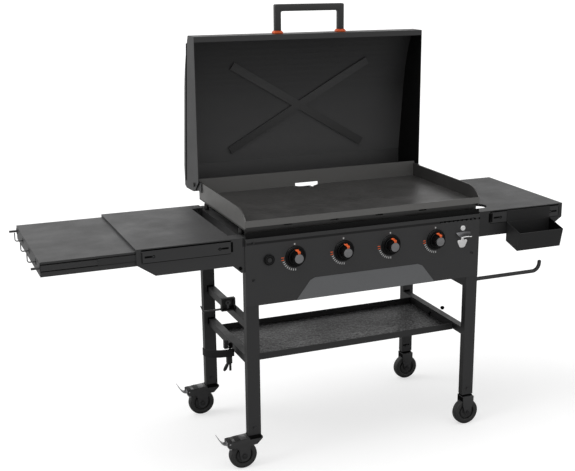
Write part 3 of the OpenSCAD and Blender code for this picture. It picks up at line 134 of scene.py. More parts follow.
def mixed(nodes, links, factor, a, b):
    """Colour a where the factor is 0 and colour b where it is 1."""
    made = nodes.new("ShaderNodeMix")
    made.data_type = "RGBA"
    for i, value in ((0, factor), (6, a), (7, b)):
        if isinstance(value, (int, float, tuple)):
            made.inputs[i].default_value = value
        else:
            links.new(value, made.inputs[i])
    return made.outputs[2]


def coat_pebble():
    """Fine orange peel of a baked powder coat, with a little dust in patches on what faces up, which also
    lightens top faces as painted sheen.
    """
    group, nodes, links, start, end, place = new_group(
        "coat_pebble",
        [("Colour", "Color", (0.03, 0.03, 0.03, 1)), ("Grain", "Float", 900.0), ("Dust_and_sheen", "Float", 0.1)],
        [("Colour", "Color"), ("Roughness shift", "Float"), ("Height", "Float")],
    )
    grain = noise(nodes, links, place, start.outputs["Grain"], 2.0)
    cloud = noise(nodes, links, place, 7.0, 4.0, 0.6)
    up = nodes.new("ShaderNodeSeparateXYZ")
    links.new(nodes.new("ShaderNodeNewGeometry").outputs["Normal"], up.inputs[0])
    # faces that look up get dust in patches, which also serves as painted sheen on top faces
    up_facing = ramp(nodes, links, up.outputs["Z"], 0.6, 1.0)
    patch = ramp(nodes, links, cloud, 0.35, 0.7)
    dust_and_sheen = times(nodes, links, times(nodes, links, up_facing, patch), start.outputs["Dust_and_sheen"])
    speck = ramp(nodes, links, grain, 0.3, 0.75, -0.5, 0.5)
    tint = nodes.new("ShaderNodeHueSaturation")
    links.new(start.outputs["Colour"], tint.inputs["Color"])
    links.new(ramp(nodes, links, speck, -0.5, 0.5, 0.86, 1.16), tint.inputs["Value"])
    links.new(mixed(nodes, links, dust_and_sheen, tint.outputs[0], (0.12, 0.118, 0.112, 1)), end.inputs["Colour"])
    shift = math_node(nodes, links, "ADD", ramp(nodes, links, cloud, 0.3, 0.7, -0.05, 0.05), dust_and_sheen)
    links.new(shift, end.inputs["Roughness shift"])
    links.new(grain, end.inputs["Height"])
    return group


def rolled_mottle():
    """Blotches and faint rolling lines of bare or oiled steel."""
    group, nodes, links, start, end, place = new_group(
        "rolled_mottle",
        [("Colour", "Color", (0.05, 0.05, 0.05, 1)), ("Second", "Color", (0.03, 0.03, 0.03, 1)),
         ("Blotch", "Float", 9.0), ("Stretch", "Vector", (1.0, 30.0, 30.0))],
        [("Colour", "Color"), ("Mask", "Float"), ("Height", "Float")],
    )
    blotch = noise(nodes, links, place, start.outputs["Blotch"], 5.0, 0.6)
    lines_place = nodes.new("ShaderNodeVectorMath")
    lines_place.operation = "MULTIPLY"
    links.new(place, lines_place.inputs[0])
    links.new(start.outputs["Stretch"], lines_place.inputs[1])
    lines = noise(nodes, links, lines_place.outputs[0], 24.0, 3.0)
    mask = math_node(nodes, links, "ADD", times(nodes, links, blotch, 0.75),
                     times(nodes, links, lines, 0.25))
    spread = ramp(nodes, links, mask, 0.36, 0.64)
    links.new(mixed(nodes, links, spread, start.outputs["Colour"], start.outputs["Second"]),
              end.inputs["Colour"])
    links.new(spread, end.inputs["Mask"])
    links.new(lines, end.inputs["Height"])
    return group


PEBBLE = coat_pebble()
MOTTLE = rolled_mottle()
FINISH = {}


def new_material(name):
    made = bpy.data.materials.new(name)
    made.use_nodes = True
    nodes, links = made.node_tree.nodes, made.node_tree.links
    return made, nodes, links, nodes["Principled BSDF"]


def add_bump(nodes, links, shader, height, strength, depth):
    bump = nodes.new("ShaderNodeBump")
    socket_value(bump, "Strength", strength)
    socket_value(bump, "Distance", depth)
    links.new(height, bump.inputs["Height"])
    links.new(bump.outputs["Normal"], shader.inputs["Normal"])


def coated(name, colour, rough, grain=900.0, bump=0.25, dust_and_sheen=0.1, shine=0.5):
    """Powder coat, paint or moulded plastic with a fine skin."""
    made, nodes, links, shader = new_material(name)
    skin = nodes.new("ShaderNodeGroup")
    skin.node_tree = PEBBLE
    socket_value(skin, "Colour", (*colour, 1))
    socket_value(skin, "Grain", grain)
    socket_value(skin, "Dust_and_sheen", dust_and_sheen)
    links.new(skin.outputs["Colour"], shader.inputs["Base Color"])
    links.new(math_node(nodes, links, "ADD", skin.outputs["Roughness shift"], rough),
              shader.inputs["Roughness"])
    add_bump(nodes, links, shader, skin.outputs["Height"], bump, 0.0004)
    socket_value(shader, "Specular IOR Level", shine)
    FINISH[name] = made
    return made


def rolled(name, colour, second, rough, metal, stretch=(1.0, 30.0, 30.0), blotch=9.0, bump=0.15):
    """Bare, oiled or plated steel."""
    made, nodes, links, shader = new_material(name)
    skin = nodes.new("ShaderNodeGroup")
    skin.node_tree = MOTTLE
    socket_value(skin, "Colour", (*colour, 1))
    socket_value(skin, "Second", (*second, 1))
    socket_value(skin, "Blotch", blotch)
    socket_value(skin, "Stretch", stretch)
    links.new(skin.outputs["Colour"], shader.inputs["Base Color"])
    links.new(ramp(nodes, links, skin.outputs["Mask"], 0.0, 1.0, rough[0], rough[1]),
              shader.inputs["Roughness"])
    add_bump(nodes, links, shader, skin.outputs["Height"], bump, 0.0003)
    socket_value(shader, "Metallic", metal)
    FINISH[name] = made
    return made


def base_shader(made):
    """A finished material's nodes and links, its shader, and the socket that colours it."""
    nodes, links = made.node_tree.nodes, made.node_tree.links
    shader = nodes["Principled BSDF"]
    return nodes, links, shader, shader.inputs["Base Color"].links[0].from_socket


def split_axes(nodes, links):
    """Object place and true normal, each as three values."""
    place, facing = nodes.new("ShaderNodeSeparateXYZ"), nodes.new("ShaderNodeSeparateXYZ")
    links.new(nodes.new("ShaderNodeTexCoord").outputs["Object"], place.inputs[0])
    links.new(nodes.new("ShaderNodeNewGeometry").outputs["True Normal"], facing.inputs[0])
    return place.outputs, facing.outputs


def inner_right(nodes, links, place, facing):
    """A mask of the faces on the right that look inwards, where painted shade goes."""
    return times(nodes, links, ramp(nodes, links, facing["X"], -0.5, -0.8),
                 ramp(nodes, links, place["X"], 0.45, 0.5))


# The hood's back sheet seen from the side: where it starts, its lean, where it starts to curve and by
# how much, all in metres. What stands further forward than the sheet is the pressed cross.
BACK_START, BACK_FOOT, BACK_LEAN, CURVE_START, CURVE = 0.3856, 0.9859, 0.1278, 1.27, 0.805
RIB_DEPTHS = (0.003, 0.005)
# Painted light and shade on the hood's coat: heights of its painted lighter foot and low back, and the tones
# painted on the foot, the low back, the pressed cross, the faces that look up and the inner right
LIT_FOOT_BAND, LIT_LOW_BAND = (1.1, 1.0), (1.27, 1.03)
HOOD_PAINTED_TONES = {"foot": (0.056, 0.056, 0.0565, 1), "low": (0.098, 0.098, 0.099, 1),
              "cross": (0.047, 0.047, 0.0475, 1), "edge": (0.01, 0.01, 0.01, 1),
              "inner": (0.006, 0.006, 0.006, 1)}


def cross_mask(nodes, links, place):
    """A mask of what stands out of the hood's leaning and curved back sheet."""
    up = less(nodes, links, place["Z"], BACK_FOOT)
    above = math_node(nodes, links, "MAXIMUM", less(nodes, links, place["Z"], CURVE_START), 0.0)
    bend = times(nodes, links, times(nodes, links, above, above), CURVE)
    flat = less(nodes, links, BACK_START, times(nodes, links, up, BACK_LEAN))
    depth = less(nodes, links, less(nodes, links, flat, bend), place["Y"])
    return ramp(nodes, links, depth, *RIB_DEPTHS)


def hood_skin(name):
    """Powder coat of the hood with painted light and shade: painted lighter low on its back, on front faces
    near its foot and on the pressed cross, painted darker on faces that look up, and darkest, with little
    sheen, on the inner right as painted shade.
    """
    made = coated(name, (0.026, 0.026, 0.0268), 0.47)
    nodes, links, shader, base = base_shader(made)
    place, facing = split_axes(nodes, links)
    inner = inner_right(nodes, links, place, facing)
    front = ramp(nodes, links, facing["Y"], -0.5, -0.8)
    leaning = times(nodes, links, front, ramp(nodes, links, facing["Z"], -0.05, -0.1))
    # painted light: front faces near the hood's foot are painted lighter
    foot = mixed(nodes, links, front, base, HOOD_PAINTED_TONES["foot"])
    foot = mixed(nodes, links, ramp(nodes, links, place["Z"], *LIT_FOOT_BAND), base, foot)
    # painted light: the low part of the leaning back is painted lighter
    low = times(nodes, links, leaning, ramp(nodes, links, place["Z"], *LIT_LOW_BAND))
    lit_low_back = mixed(nodes, links, low, foot, HOOD_PAINTED_TONES["low"])
    # painted highlight: the pressed cross is painted lighter than the sheet
    cross = times(nodes, links, leaning, cross_mask(nodes, links, place))
    skin = mixed(nodes, links, cross, lit_low_back, HOOD_PAINTED_TONES["cross"])
    # painted shade: faces that look up are painted darker
    upward = ramp(nodes, links, facing["Z"], 0.7, 0.9)
    skin = mixed(nodes, links, upward, skin, HOOD_PAINTED_TONES["edge"])
    # painted shade: the inner right faces are painted darkest, with less sheen
    links.new(mixed(nodes, links, inner, skin, HOOD_PAINTED_TONES["inner"]), shader.inputs["Base Color"])
    links.new(ramp(nodes, links, inner, 0.0, 1.0, 0.5, 0.08), shader.inputs["Specular IOR Level"])
    return made


GUARD_TOP = 0.886
GAP_SHADE_TOP = 0.8585


def seasoned(name, flat, wall, gap_shade):
    """Seasoned plate: an oily dark floor; walls and lip painted greyer as painted light, except the inner
    right walls, which keep the floor's colour as painted shade; and painted shade, near black, low on the
    wind guard for the shaded gap under the lip.
    """
    made = rolled(name, flat, tuple(1.35 * v for v in flat), (0.34, 0.5), 0.2)
    nodes, links, shader, base = base_shader(made)
    place, facing = split_axes(nodes, links)
    inner = inner_right(nodes, links, place, facing)
    # painted light: upright walls and lip above the guard are painted greyer; the inner right walls keep the
    # floor's colour as painted shade
    upright = ramp(nodes, links, math_node(nodes, links, "ABSOLUTE", facing["Z"], 0), 0.85, 0.6)
    above = ramp(nodes, links, place["Z"], GUARD_TOP, GUARD_TOP + 2 * MM)
    lit = mixed(nodes, links, times(nodes, links, upright, above), base, (*wall, 1))
    lit = mixed(nodes, links, inner, lit, base)
    # painted shade: near black low on the wind guard, for the shaded gap under the lip
    low = ramp(nodes, links, place["Z"], GAP_SHADE_TOP, GAP_SHADE_TOP - 2 * MM)
    links.new(mixed(nodes, links, low, lit, (*gap_shade, 1)), shader.inputs["Base Color"])
    return made


def caddy_coat(name):
    """Powder coat of the hanging caddy with painted shade: darkest, with little sheen, on the inner face of
    its right wall.
    """
    shine = 0.27
    made = coated(name, (0.018, 0.018, 0.0185), 0.5, shine=shine)
    nodes, links, shader, base = base_shader(made)
    place, facing = split_axes(nodes, links)
    inner = inner_right(nodes, links, place, facing)
    # painted shade on the inner face of the right wall
    dark = times(nodes, links, inner, ramp(nodes, links, place["X"], 0.85, 0.86))
    links.new(mixed(nodes, links, dark, base, (0.002, 0.002, 0.002, 1)), shader.inputs["Base Color"])
    links.new(ramp(nodes, links, dark, 0.0, 1.0, shine, 0.04), shader.inputs["Specular IOR Level"])
    return made


def pebbled_sheet(name):
    """Powder coat over an embossed sheet, with painted highlights: paler on round spots as painted
    highlights of the pebbles' crowns, darker between them.
    """
    made = coated(name, (0.014, 0.014, 0.0145), 0.42, dust_and_sheen=0.1, shine=0.4)
    nodes, links, shader, base = base_shader(made)
    cells = nodes.new("ShaderNodeTexVoronoi")
    links.new(nodes.new("ShaderNodeTexCoord").outputs["Object"], cells.inputs["Vector"])
    socket_value(cells, "Scale", 118.0)
    # painted highlight: pale spot centres stand in for light on the pebbles' crowns
    crown = ramp(nodes, links, cells.outputs["Distance"], 0.18, 0.55, 1.0, 0.0)
    links.new(mixed(nodes, links, crown, base, (0.15, 0.15, 0.153, 1)), shader.inputs["Base Color"])
    return made


def shaded_walls(name, colour, dark, inside, shine):
    """Powder coat with painted shade: darker on upright faces inside a box, given as its two corners."""
    made = coated(name, colour, 0.46, shine=shine)
    nodes, links, shader, base = base_shader(made)
    place, facing = split_axes(nodes, links)
    mask = ramp(nodes, links, math_node(nodes, links, "ABSOLUTE", facing["Z"], 0), 0.8, 0.5)
    for axis, low, high in zip("XYZ", *inside):
        for edge, step in ((low, 0.3 * MM), (high, -0.3 * MM)):
            mask = times(nodes, links, mask, ramp(nodes, links, place[axis], edge - step, edge + step))
    links.new(mixed(nodes, links, mask, base, (*dark, 1)), shader.inputs["Base Color"])
    return made


def side_shaded(name, colour, dark, shine):
    """Powder coat with painted shade: darker on the faces that look left."""
    made = coated(name, colour, 0.47, shine=shine)
    nodes, links, shader, base = base_shader(made)
    left = ramp(nodes, links, split_axes(nodes, links)[1]["X"], -0.5, -0.9)
    links.new(mixed(nodes, links, left, base, (*dark, 1)), shader.inputs["Base Color"])
    return made


# Finishes of the record's slots
coated("black_coat", (0.024, 0.024, 0.0248), 0.47)
# the plate's walls get a painted lighter grey, and the low band of its wind guard a near-black painted shade
seasoned("seasoned_steel", (0.034, 0.033, 0.032), (0.15, 0.148, 0.143), (0.012, 0.012, 0.012))
rolled("dark_sheet", (0.030, 0.029, 0.028), (0.05, 0.048, 0.046), (0.4, 0.6), 0.5)
coated("grey_plate", (0.158, 0.162, 0.167), 0.42, grain=1400.0, bump=0.12)
coated("black_plastic", (0.016, 0.016, 0.0165), 0.34, grain=1500.0, bump=0.12)
coated("orange_plastic", (0.83, 0.125, 0.022), 0.38, grain=1500.0, bump=0.1, dust_and_sheen=0.0)
rolled("bright_steel", (0.62, 0.62, 0.63), (0.48, 0.48, 0.49), (0.22, 0.36), 1.0, blotch=20.0)
rolled("zinc_steel", (0.32, 0.32, 0.33), (0.24, 0.24, 0.25), (0.3, 0.45), 1.0)
rolled("brass_parts", (0.62, 0.42, 0.16), (0.5, 0.33, 0.13), (0.25, 0.4), 1.0)
coated("caster_grey", (0.030, 0.030, 0.031), 0.42, grain=700.0, bump=0.2)
coated("tyre_rubber", (0.017, 0.017, 0.017), 0.58, grain=500.0, bump=0.3, dust_and_sheen=0.16)

# Finishes of single pieces: dials and panel, opener, tank fittings, shelves, casters, hood
rolled("knob_cap", (0.25, 0.25, 0.255), (0.2, 0.2, 0.205), (0.3, 0.42), 0.5, blotch=60.0)
coated("white_print", (0.62, 0.62, 0.62), 0.5, grain=1800.0, bump=0.08, dust_and_sheen=0.0)
coated("deep_shadow", (0.003, 0.003, 0.003), 0.75, dust_and_sheen=0.0, shine=0.03)
coated("bezel_black", (0.006, 0.006, 0.0063), 0.3, grain=1500.0, bump=0.06, dust_and_sheen=0.0, shine=0.1)
coated("knob_black", (0.004, 0.004, 0.0043), 0.3, grain=1500.0, bump=0.06, dust_and_sheen=0.0, shine=0.12)
# Near black: painted shade of the gap under the griddle's lip.
coated("gap_shade_black", (0.004, 0.004, 0.004), 0.6, dust_and_sheen=0.0, shine=0.1)
# Near black with little sheen: painted shade in the panel's fold and corners and in the swivel crowns'
# folds; also the brace band's colour.
coated("seam_dark", (0.007, 0.007, 0.0072), 0.6, dust_and_sheen=0.0, shine=0.28)
rolled("dark_zinc", (0.035, 0.035, 0.036), (0.022, 0.022, 0.023), (0.35, 0.5), 0.6)
rolled("claw_steel", (0.13, 0.13, 0.135), (0.09, 0.09, 0.095), (0.28, 0.4), 0.9)
# Near white and only half metallic: a painted reflection, so that the opener's eye, shield and lip render
# white.
rolled("opener_painted_glint", (0.97, 0.97, 0.97), (0.9, 0.9, 0.9), (0.3, 0.42), 0.45, blotch=20.0)
coated("bracket_coat", (0.020, 0.020, 0.0205), 0.42, shine=0.3)
coated("bracket_light", (0.085, 0.085, 0.088), 0.38)
coated("arm_coat", (0.05, 0.05, 0.052), 0.4, shine=0.4)
coated("burner_box", (0.011, 0.011, 0.0112), 0.55, shine=0.26)
coated("shelf_coat", (0.022, 0.022, 0.0227), 0.52, dust_and_sheen=0.04, shine=0.36)
coated("slide_dark", (0.024, 0.024, 0.0248), 0.45, shine=0.4)
caddy_coat("caddy_coat")
# Pale grey: painted highlights on the swivel crowns' tops.
coated("crown_highlight", (0.075, 0.075, 0.077), 0.3, grain=700.0, dust_and_sheen=0.0)
rolled("pedal_zinc", (0.5, 0.5, 0.51), (0.36, 0.36, 0.37), (0.25, 0.4), 0.85)
hood_skin("hood_skin")
# painted shade on the legs' faces that look left
side_shaded("leg_coat", (0.028, 0.028, 0.0288), (0.008, 0.008, 0.0082), 0.4)
# painted highlights on the tray floor's pebbles
pebbled_sheet("pebbled_sheet")
TRAY_LOW, TRAY_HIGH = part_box("bottom_shelf")
TRAY_SKIN = Vector((MM, MM, -MM))
# painted shade, near black, on the tray's inner upright walls
shaded_walls("tray_coat", (0.024, 0.024, 0.0248), (0.003, 0.003, 0.003),
             (TRAY_LOW + TRAY_SKIN, TRAY_HIGH - TRAY_SKIN), 0.42)

SLOT_OF = {row["node"]: row["material_slot"] for row in frame["record"]["subparts"]}


def dress(obj, finish):
    obj.data.materials.clear()
    obj.data.materials.append(FINISH[finish])


OWN_FINISH = {"panel_screws": "dark_zinc", "frame_bolts": "leg_coat", "rigid_axles": "dark_zinc",
              "left_leg_frame": "leg_coat", "right_leg_frame": "leg_coat", "bottom_shelf": "tray_coat",
              "brake_pedal_front": "pedal_zinc", "brake_pedal_rear": "pedal_zinc",
              "tank_brace": "bracket_coat", "fixed_slides": "slide_dark", "middle_slides": "slide_dark",
              "caddy": "caddy_coat", "knob_bezels": "bezel_black", "igniter_module": "bezel_black",
              "side_panels": "burner_box", "heat_shield": "burner_box", "hood_shell": "hood_skin",
              "right_shelf": "shelf_coat"}
OWN_FINISH.update({"knob_%d" % i: "knob_black" for i in range(1, 5)})

for name, node in NODES.items():
    dress(node, OWN_FINISH.get(name) or SLOT_OF[name])


# Mesh helpers

def nothing_selected():
    bpy.ops.object.select_all(action="DESELECT")


def only(obj):
    nothing_selected()
    obj.select_set(True)
    bpy.context.view_layer.objects.active = obj


def renamed(obj, name):
    obj.name = name
    obj.data.name = name
    return obj


def named(name):
    """The primitive just added, under its own name, with its place put into its mesh."""
    bpy.ops.object.transform_apply(location=True, rotation=True, scale=True)
    return renamed(bpy.context.view_layer.objects.active, name)


def copied(model, x=0, y=0, z=0):
    """A copy of a piece with its own mesh, moved across the drawing."""
    made = model.copy()
    made.data = model.data.copy()
    made.data.transform(Matrix.Translation(Vector((x, y, z)) * MM))
    bpy.context.scene.collection.objects.link(made)
    return made


def modifier(obj, kind, **settings):
    """Adds a modifier and applies it."""
    only(obj)
    made = obj.modifiers.new(kind.lower(), kind)
    for key, value in settings.items():
        setattr(made, key, value)
    bpy.ops.object.modifier_apply(modifier=made.name)


def smooth(obj, angle=35):
    only(obj)
    bpy.ops.object.shade_smooth_by_angle(angle=math.radians(angle))


# Where a point drawn on a plane lies, by the axis that the plane is square to
PLANES = {"x": lambda a, b, c: (c, a, b), "y": lambda a, b, c: (a, c, b), "z": lambda a, b, c: (a, b, c)}


def corner(centre, radius, start, stop, steps=6):
    """Points of an arc, from one angle to another."""
    return [(centre[0] + radius * math.cos(math.radians(start + (stop - start) * i / steps)),
             centre[1] + radius * math.sin(math.radians(start + (stop - start) * i / steps)))
            for i in range(steps + 1)]


def moved_to(name, points):
    """The primitive just added, with its points moved to places of the drawing."""
    obj = named(name)
    for vertex, point in zip(obj.data.vertices, points):
        vertex.co = at(*point)
    return obj


def edit_all(obj):
    """Opens a piece in edit mode with all of it selected."""
    only(obj)
    bpy.ops.object.mode_set(mode="EDIT")
    bpy.ops.mesh.select_all(action="SELECT")


def faces_out():
    """Turns every face outwards and leaves edit mode."""
    bpy.ops.mesh.select_all(action="SELECT")
    bpy.ops.mesh.normals_make_consistent(inside=False)
    bpy.ops.object.mode_set(mode="OBJECT")


def rounded(obj, width, segments=2, angle=35):
    """Rounds the sharp edges of a piece and shades it."""
    if width:
        modifier(obj, "BEVEL", width=width * MM, segments=segments, limit_method="ANGLE")
    smooth(obj, angle)
    return obj


def slab(name, outline, along, low, high, bevel=0.4, segments=2):
    """An outline drawn square to one axis, extruded along it and rounded."""
    nothing_selected()
    bpy.ops.mesh.primitive_circle_add(vertices=len(outline), fill_type="NGON", calc_uvs=False)
    obj = moved_to(name, [PLANES[along](a, b, low) for a, b in outline])
    edit_all(obj)
    thickness = Vector(PLANES[along](0, 0, high - low)) * MM
    bpy.ops.mesh.extrude_region_move(TRANSFORM_OT_translate={"value": thickness})
    faces_out()
    return rounded(obj, bevel, segments)


def block(name, low, high, bevel=0.4, segments=2):
    """A cube stretched between two corners of the drawing, with its edges rounded."""
    nothing_selected()
    middle = [(a + b) / 2 for a, b in zip(low, high)]
    bpy.ops.mesh.primitive_cube_add(size=1, calc_uvs=False, location=at(*middle))
    bpy.context.view_layer.objects.active.scale = [(b - a) * MM for a, b in zip(low, high)]
    return rounded(named(name), bevel, segments)


def unclosed(ring):
    """Takes away the edge between a ring's last point and its first."""
    ends = {0, len(ring.data.vertices) - 1}
    for vertex in ring.data.vertices:
        vertex.select = vertex.index in ends
    for edge in ring.data.edges:
        edge.select = set(edge.vertices) == ends
    only(ring)
    bpy.ops.object.mode_set(mode="EDIT")
    bpy.ops.mesh.delete(type="EDGE")
    bpy.ops.object.mode_set(mode="OBJECT")


def turned(name, profile, centre, along="y", closed=False, steps=56, angle=35):
    """A profile of (radius, offset) pairs spun about an axis through a point of the drawing."""
    nothing_selected()
    bpy.ops.mesh.primitive_circle_add(vertices=len(profile), fill_type="NOTHING", calc_uvs=False)
    spots = [PLANES[along](radius, 0, offset) for radius, offset in profile]
    obj = moved_to(name, [[c + v for c, v in zip(centre, spot)] for spot in spots])
    if not closed:
        unclosed(obj)
    edit_all(obj)
    bpy.ops.mesh.spin(steps=steps, angle=2 * math.pi, center=at(*centre), axis=PLANES[along](0, 0, 1))
    if not closed:
        bpy.ops.mesh.select_all(action="SELECT")
        bpy.ops.mesh.fill_holes(sides=0)
    faces_out()
    smooth(obj, angle)
    return obj


def sheet(name, rows, thick):
    """A sheet through rows of points of the drawing, given its thickness."""
    nothing_selected()
    bpy.ops.mesh.primitive_grid_add(x_subdivisions=len(rows[0]) - 1, y_subdivisions=len(rows) - 1,
                                    calc_uvs=False)
    obj = moved_to(name, [point for row in rows for point in row])
    edit_all(obj)
    faces_out()
    modifier(obj, "SOLIDIFY", thickness=thick * MM, offset=0)
    return obj


def wire(name, points, radius):
    """A round rod through points of the drawing."""
    curve = bpy.data.curves.new(name, "CURVE")
    curve.dimensions = "3D"
    curve.bevel_depth = radius * MM
    curve.bevel_resolution = 4
    curve.use_fill_caps = True
    line = curve.splines.new("POLY")
    line.points.add(len(points) - 1)
    for spot, point in zip(line.points, points):
        spot.co = (*at(*point), 1)
    obj = bpy.data.objects.new(name, curve)
    bpy.context.scene.collection.objects.link(obj)
    only(obj)
    bpy.ops.object.convert(target="MESH")
    made = bpy.context.view_layer.objects.active
    smooth(made, 40)
    return made


def strip(name, path, along, low, high, thick, bevel=0.3):
    """A bent strip of sheet metal: a path drawn square to one axis, with a thickness."""
    left, right = [], []
    for i, (a, b) in enumerate(path):
        before, after = path[max(i - 1, 0)], path[min(i + 1, len(path) - 1)]
        run = math.hypot(after[0] - before[0], after[1] - before[1])
        across = ((before[1] - after[1]) / run * thick / 2, (after[0] - before[0]) / run * thick / 2)
        left.append((a + across[0], b + across[1]))
        right.append((a - across[0], b - across[1]))
    return slab(name, left + right[::-1], along, low, high, bevel)


def joined(name, parts):
    """One piece out of several."""
    nothing_selected()
    for part in parts:
        part.select_set(True)
    bpy.context.view_layer.objects.active = parts[0]
    if len(parts) > 1:
        bpy.ops.object.join()
    return renamed(parts[0], name)


def finished(obj, body, slot, finish=None):
    """Gives a piece its finish and puts it on its body."""
    dress(obj, finish or slot)
    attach(obj, body)
    return obj


# Control panel

CAP_FRONT = -303.3
SCALE_R = 47
TICK_LONG, TICK_WIDE = 7.6, 3.3
TICKS = 9
HOT_TICKS, HOT_OUT, HOT_LONG = 2, 1.5, 1.35


def tick(name, x, z, turn, long, wide):
    """One printed stroke on the panel, turned about the dial."""
    nothing_selected()
    bpy.ops.mesh.primitive_plane_add(size=1, location=(0, 0, 0))
    obj = bpy.context.view_layer.objects.active
    obj.scale = (wide * MM, long * MM, 1)
    obj.rotation_euler = (math.radians(90), 0, 0)
    bpy.ops.object.transform_apply(location=False, rotation=True, scale=True)
    obj.rotation_euler = (0, turn, 0)
    obj.location = at(x, FACE_Y - 0.15, z)
    made = named(name)
    modifier(made, "SOLIDIFY", thickness=0.25 * MM, offset=0)
    return made


def on_dials(model, name):
    """The first dial's piece and its copies on the other dials, each with its dial's number."""
    pieces = [model] + [copied(model, x - KNOB_XS[0]) for x in KNOB_XS[1:]]
    return [(number, renamed(piece, "%s_%d" % (name, number))) for number, piece in enumerate(pieces, 1)]


def dial_scales():
    """The arc of strokes below left of each dial, from the high mark round to the low one."""
    cx = KNOB_XS[0]
    white, warm = [], []
    for i in range(TICKS + 1):
        angle = math.radians(180 + 90 * i / TICKS)
        hot = i < HOT_TICKS
        radius = SCALE_R + (HOT_OUT if hot else 0)
        x, z = cx + radius * math.cos(angle), KNOB_Z + radius * math.sin(angle)
        long = TICK_LONG * (HOT_LONG if hot else 1.0)
        made = tick("stroke", x, z, math.pi / 2 - angle, long, TICK_WIDE)
        (warm if hot else white).append(made)
    white.append(tick("stroke", cx - 3, KNOB_Z + SCALE_R - 1.5, 0, 6.0, 5.0))
    for _, marks in on_dials(joined("dial_marks", white), "dial_marks"):
        finished(marks, "cart", "grey_plate", "white_print")
    for _, marks in on_dials(joined("high_marks", warm), "high_marks"):
        finished(marks, "cart", "orange_plastic")


def knob_caps():
    """The satin disc let into each knob's face."""
    profile = [(0.4, 0.4), (15.0, 0.4), (16.1, 0.2), (16.6, -0.4), (16.6, -1.2), (0.4, -1.2)]
    cap = turned("cap", [(r, -v) for r, v in profile], (KNOB_XS[0], CAP_FRONT + 0.2, KNOB_Z))
    for number, disc in on_dials(cap, "knob_cap"):
        finished(disc, "dial_%d" % number, "black_plastic", "knob_cap")


# The pointer's line over the knob: up from the dial's middle, its depth, and half its width
POINTER = [(27.4, -277.8, 6.4), (27.2, -281.2, 6.4), (24.9, -284.0, 6.0), (24.6, -301.0, 5.6),
           (23.6, -303.2, 5.4), (16.9, -303.9, 4.4)]


def knob_pointers():
    """The orange insert that runs from each knob's skirt over its grip to the cap."""
    rows = [[(KNOB_XS[0] + side * wide, y, KNOB_Z + up) for side in (-1, 1)] for up, y, wide in POINTER]
    insert = rounded(sheet("insert", rows, 0.9), 0.25)
    for number, pointer in on_dials(insert, "knob_pointer"):
        finished(pointer, "dial_%d" % number, "orange_plastic")


def bezel_rings():
    """Fine turned steps round each dial's bezel."""
    profile = [(29.5, -0.2), (29.5, -6.6), (31.0, -7.3), (32.6, -6.9), (33.2, -5.9), (34.8, -6.2),
               (35.6, -5.6), (38.6, -1.6), (38.9, -0.2)]
    stepped = turned("stepped", profile, (KNOB_XS[0], FACE_Y, KNOB_Z), closed=True, steps=72)
    for _, ring in on_dials(stepped, "bezel_ring"):
        finished(ring, "cart", "black_plastic", "bezel_black")


dial_scales()
knob_caps()
knob_pointers()
bezel_rings()


VENT_STEP, VENT_HALF = 18.5, 3.2


def vent_crease_shade():
    """Painted shade: near-black strips for the creased line between the vents along the panel's top and for
    the corners at its left end, and the gap above it.
    """
    parts = [block("crease", (x - VENT_HALF, FACE_Y - 0.25, 830.4), (x + VENT_HALF, FACE_Y + 0.2, 837.2), 0)
             for x in (VENT_STEP * i for i in range(16, 26))]
    finished(joined("vent_crease_shade", parts), "cart", "black_coat", "deep_shadow")
    fold = [block("fold", (-458, FACE_Y - 0.3, 829.4), (294, FACE_Y + 0.2, 837.6), 0),
            block("corner", (-471.5, SHELF_Y - 0.5, 827), (-464.2, SHELF_Y + 0.1, 856), 0),
            block("corner", (-463.8, FACE_Y - 0.4, 827), (-461.2, FACE_Y + 0.2, 848), 0)]
    finished(joined("vent_fold_shade", fold), "cart", "black_coat", "seam_dark")
    # painted shade: a near-black strip low on the wind guard, for the shaded gap under the lip
    gap_shade = block("guard_gap_shade", (-461, SHELF_Y - 0.5, 850.2), (461, SHELF_Y + 0.2, 871), 0.2)
    finished(gap_shade, BODY_OF["griddle_plate"], SLOT_OF["griddle_plate"], "gap_shade_black")


def igniter_face():
    """The igniter's moulded collar and the dished button inside it."""
    collar = turned("igniter_collar", [(13.2, 6), (13.2, -0.4), (14.6, -1.0), (17.6, -0.6), (18.6, 0.6),
                                       (18.6, 6)], IGNITER, closed=True)
    finished(collar, "cart", "black_plastic", "bezel_black")
    dish = turned("igniter_dish", [(0.4, -1.4), (6.0, -1.7), (9.4, -2.7), (12.2, -3.4), (13.0, -2.8),
                                   (13.0, -0.5), (0.4, -0.5)], IGNITER)
    finished(dish, "igniter_push", "black_plastic", "knob_black")


def screw_drive_shade():
    """Painted shade of the crossed drives in the panel's screw heads: near-black crosses on the heads."""
    front, back = SCREW_TOP - 0.3, SCREW_TOP + 0.2
    x0, z0 = SCREWS[0]
    cross = [block("cross", (x0 - wide, front, z0 - tall), (x0 + wide, back, z0 + tall), 0)
             for wide, tall in ((2.6, 0.6), (0.6, 2.6))]
    parts = cross + [copied(bar, x=x - x0, z=z - z0) for x, z in SCREWS[1:] for bar in cross]
    finished(joined("screw_drive_shade", parts), "cart", "black_coat", "deep_shadow")


vent_crease_shade()
igniter_face()
screw_drive_shade()


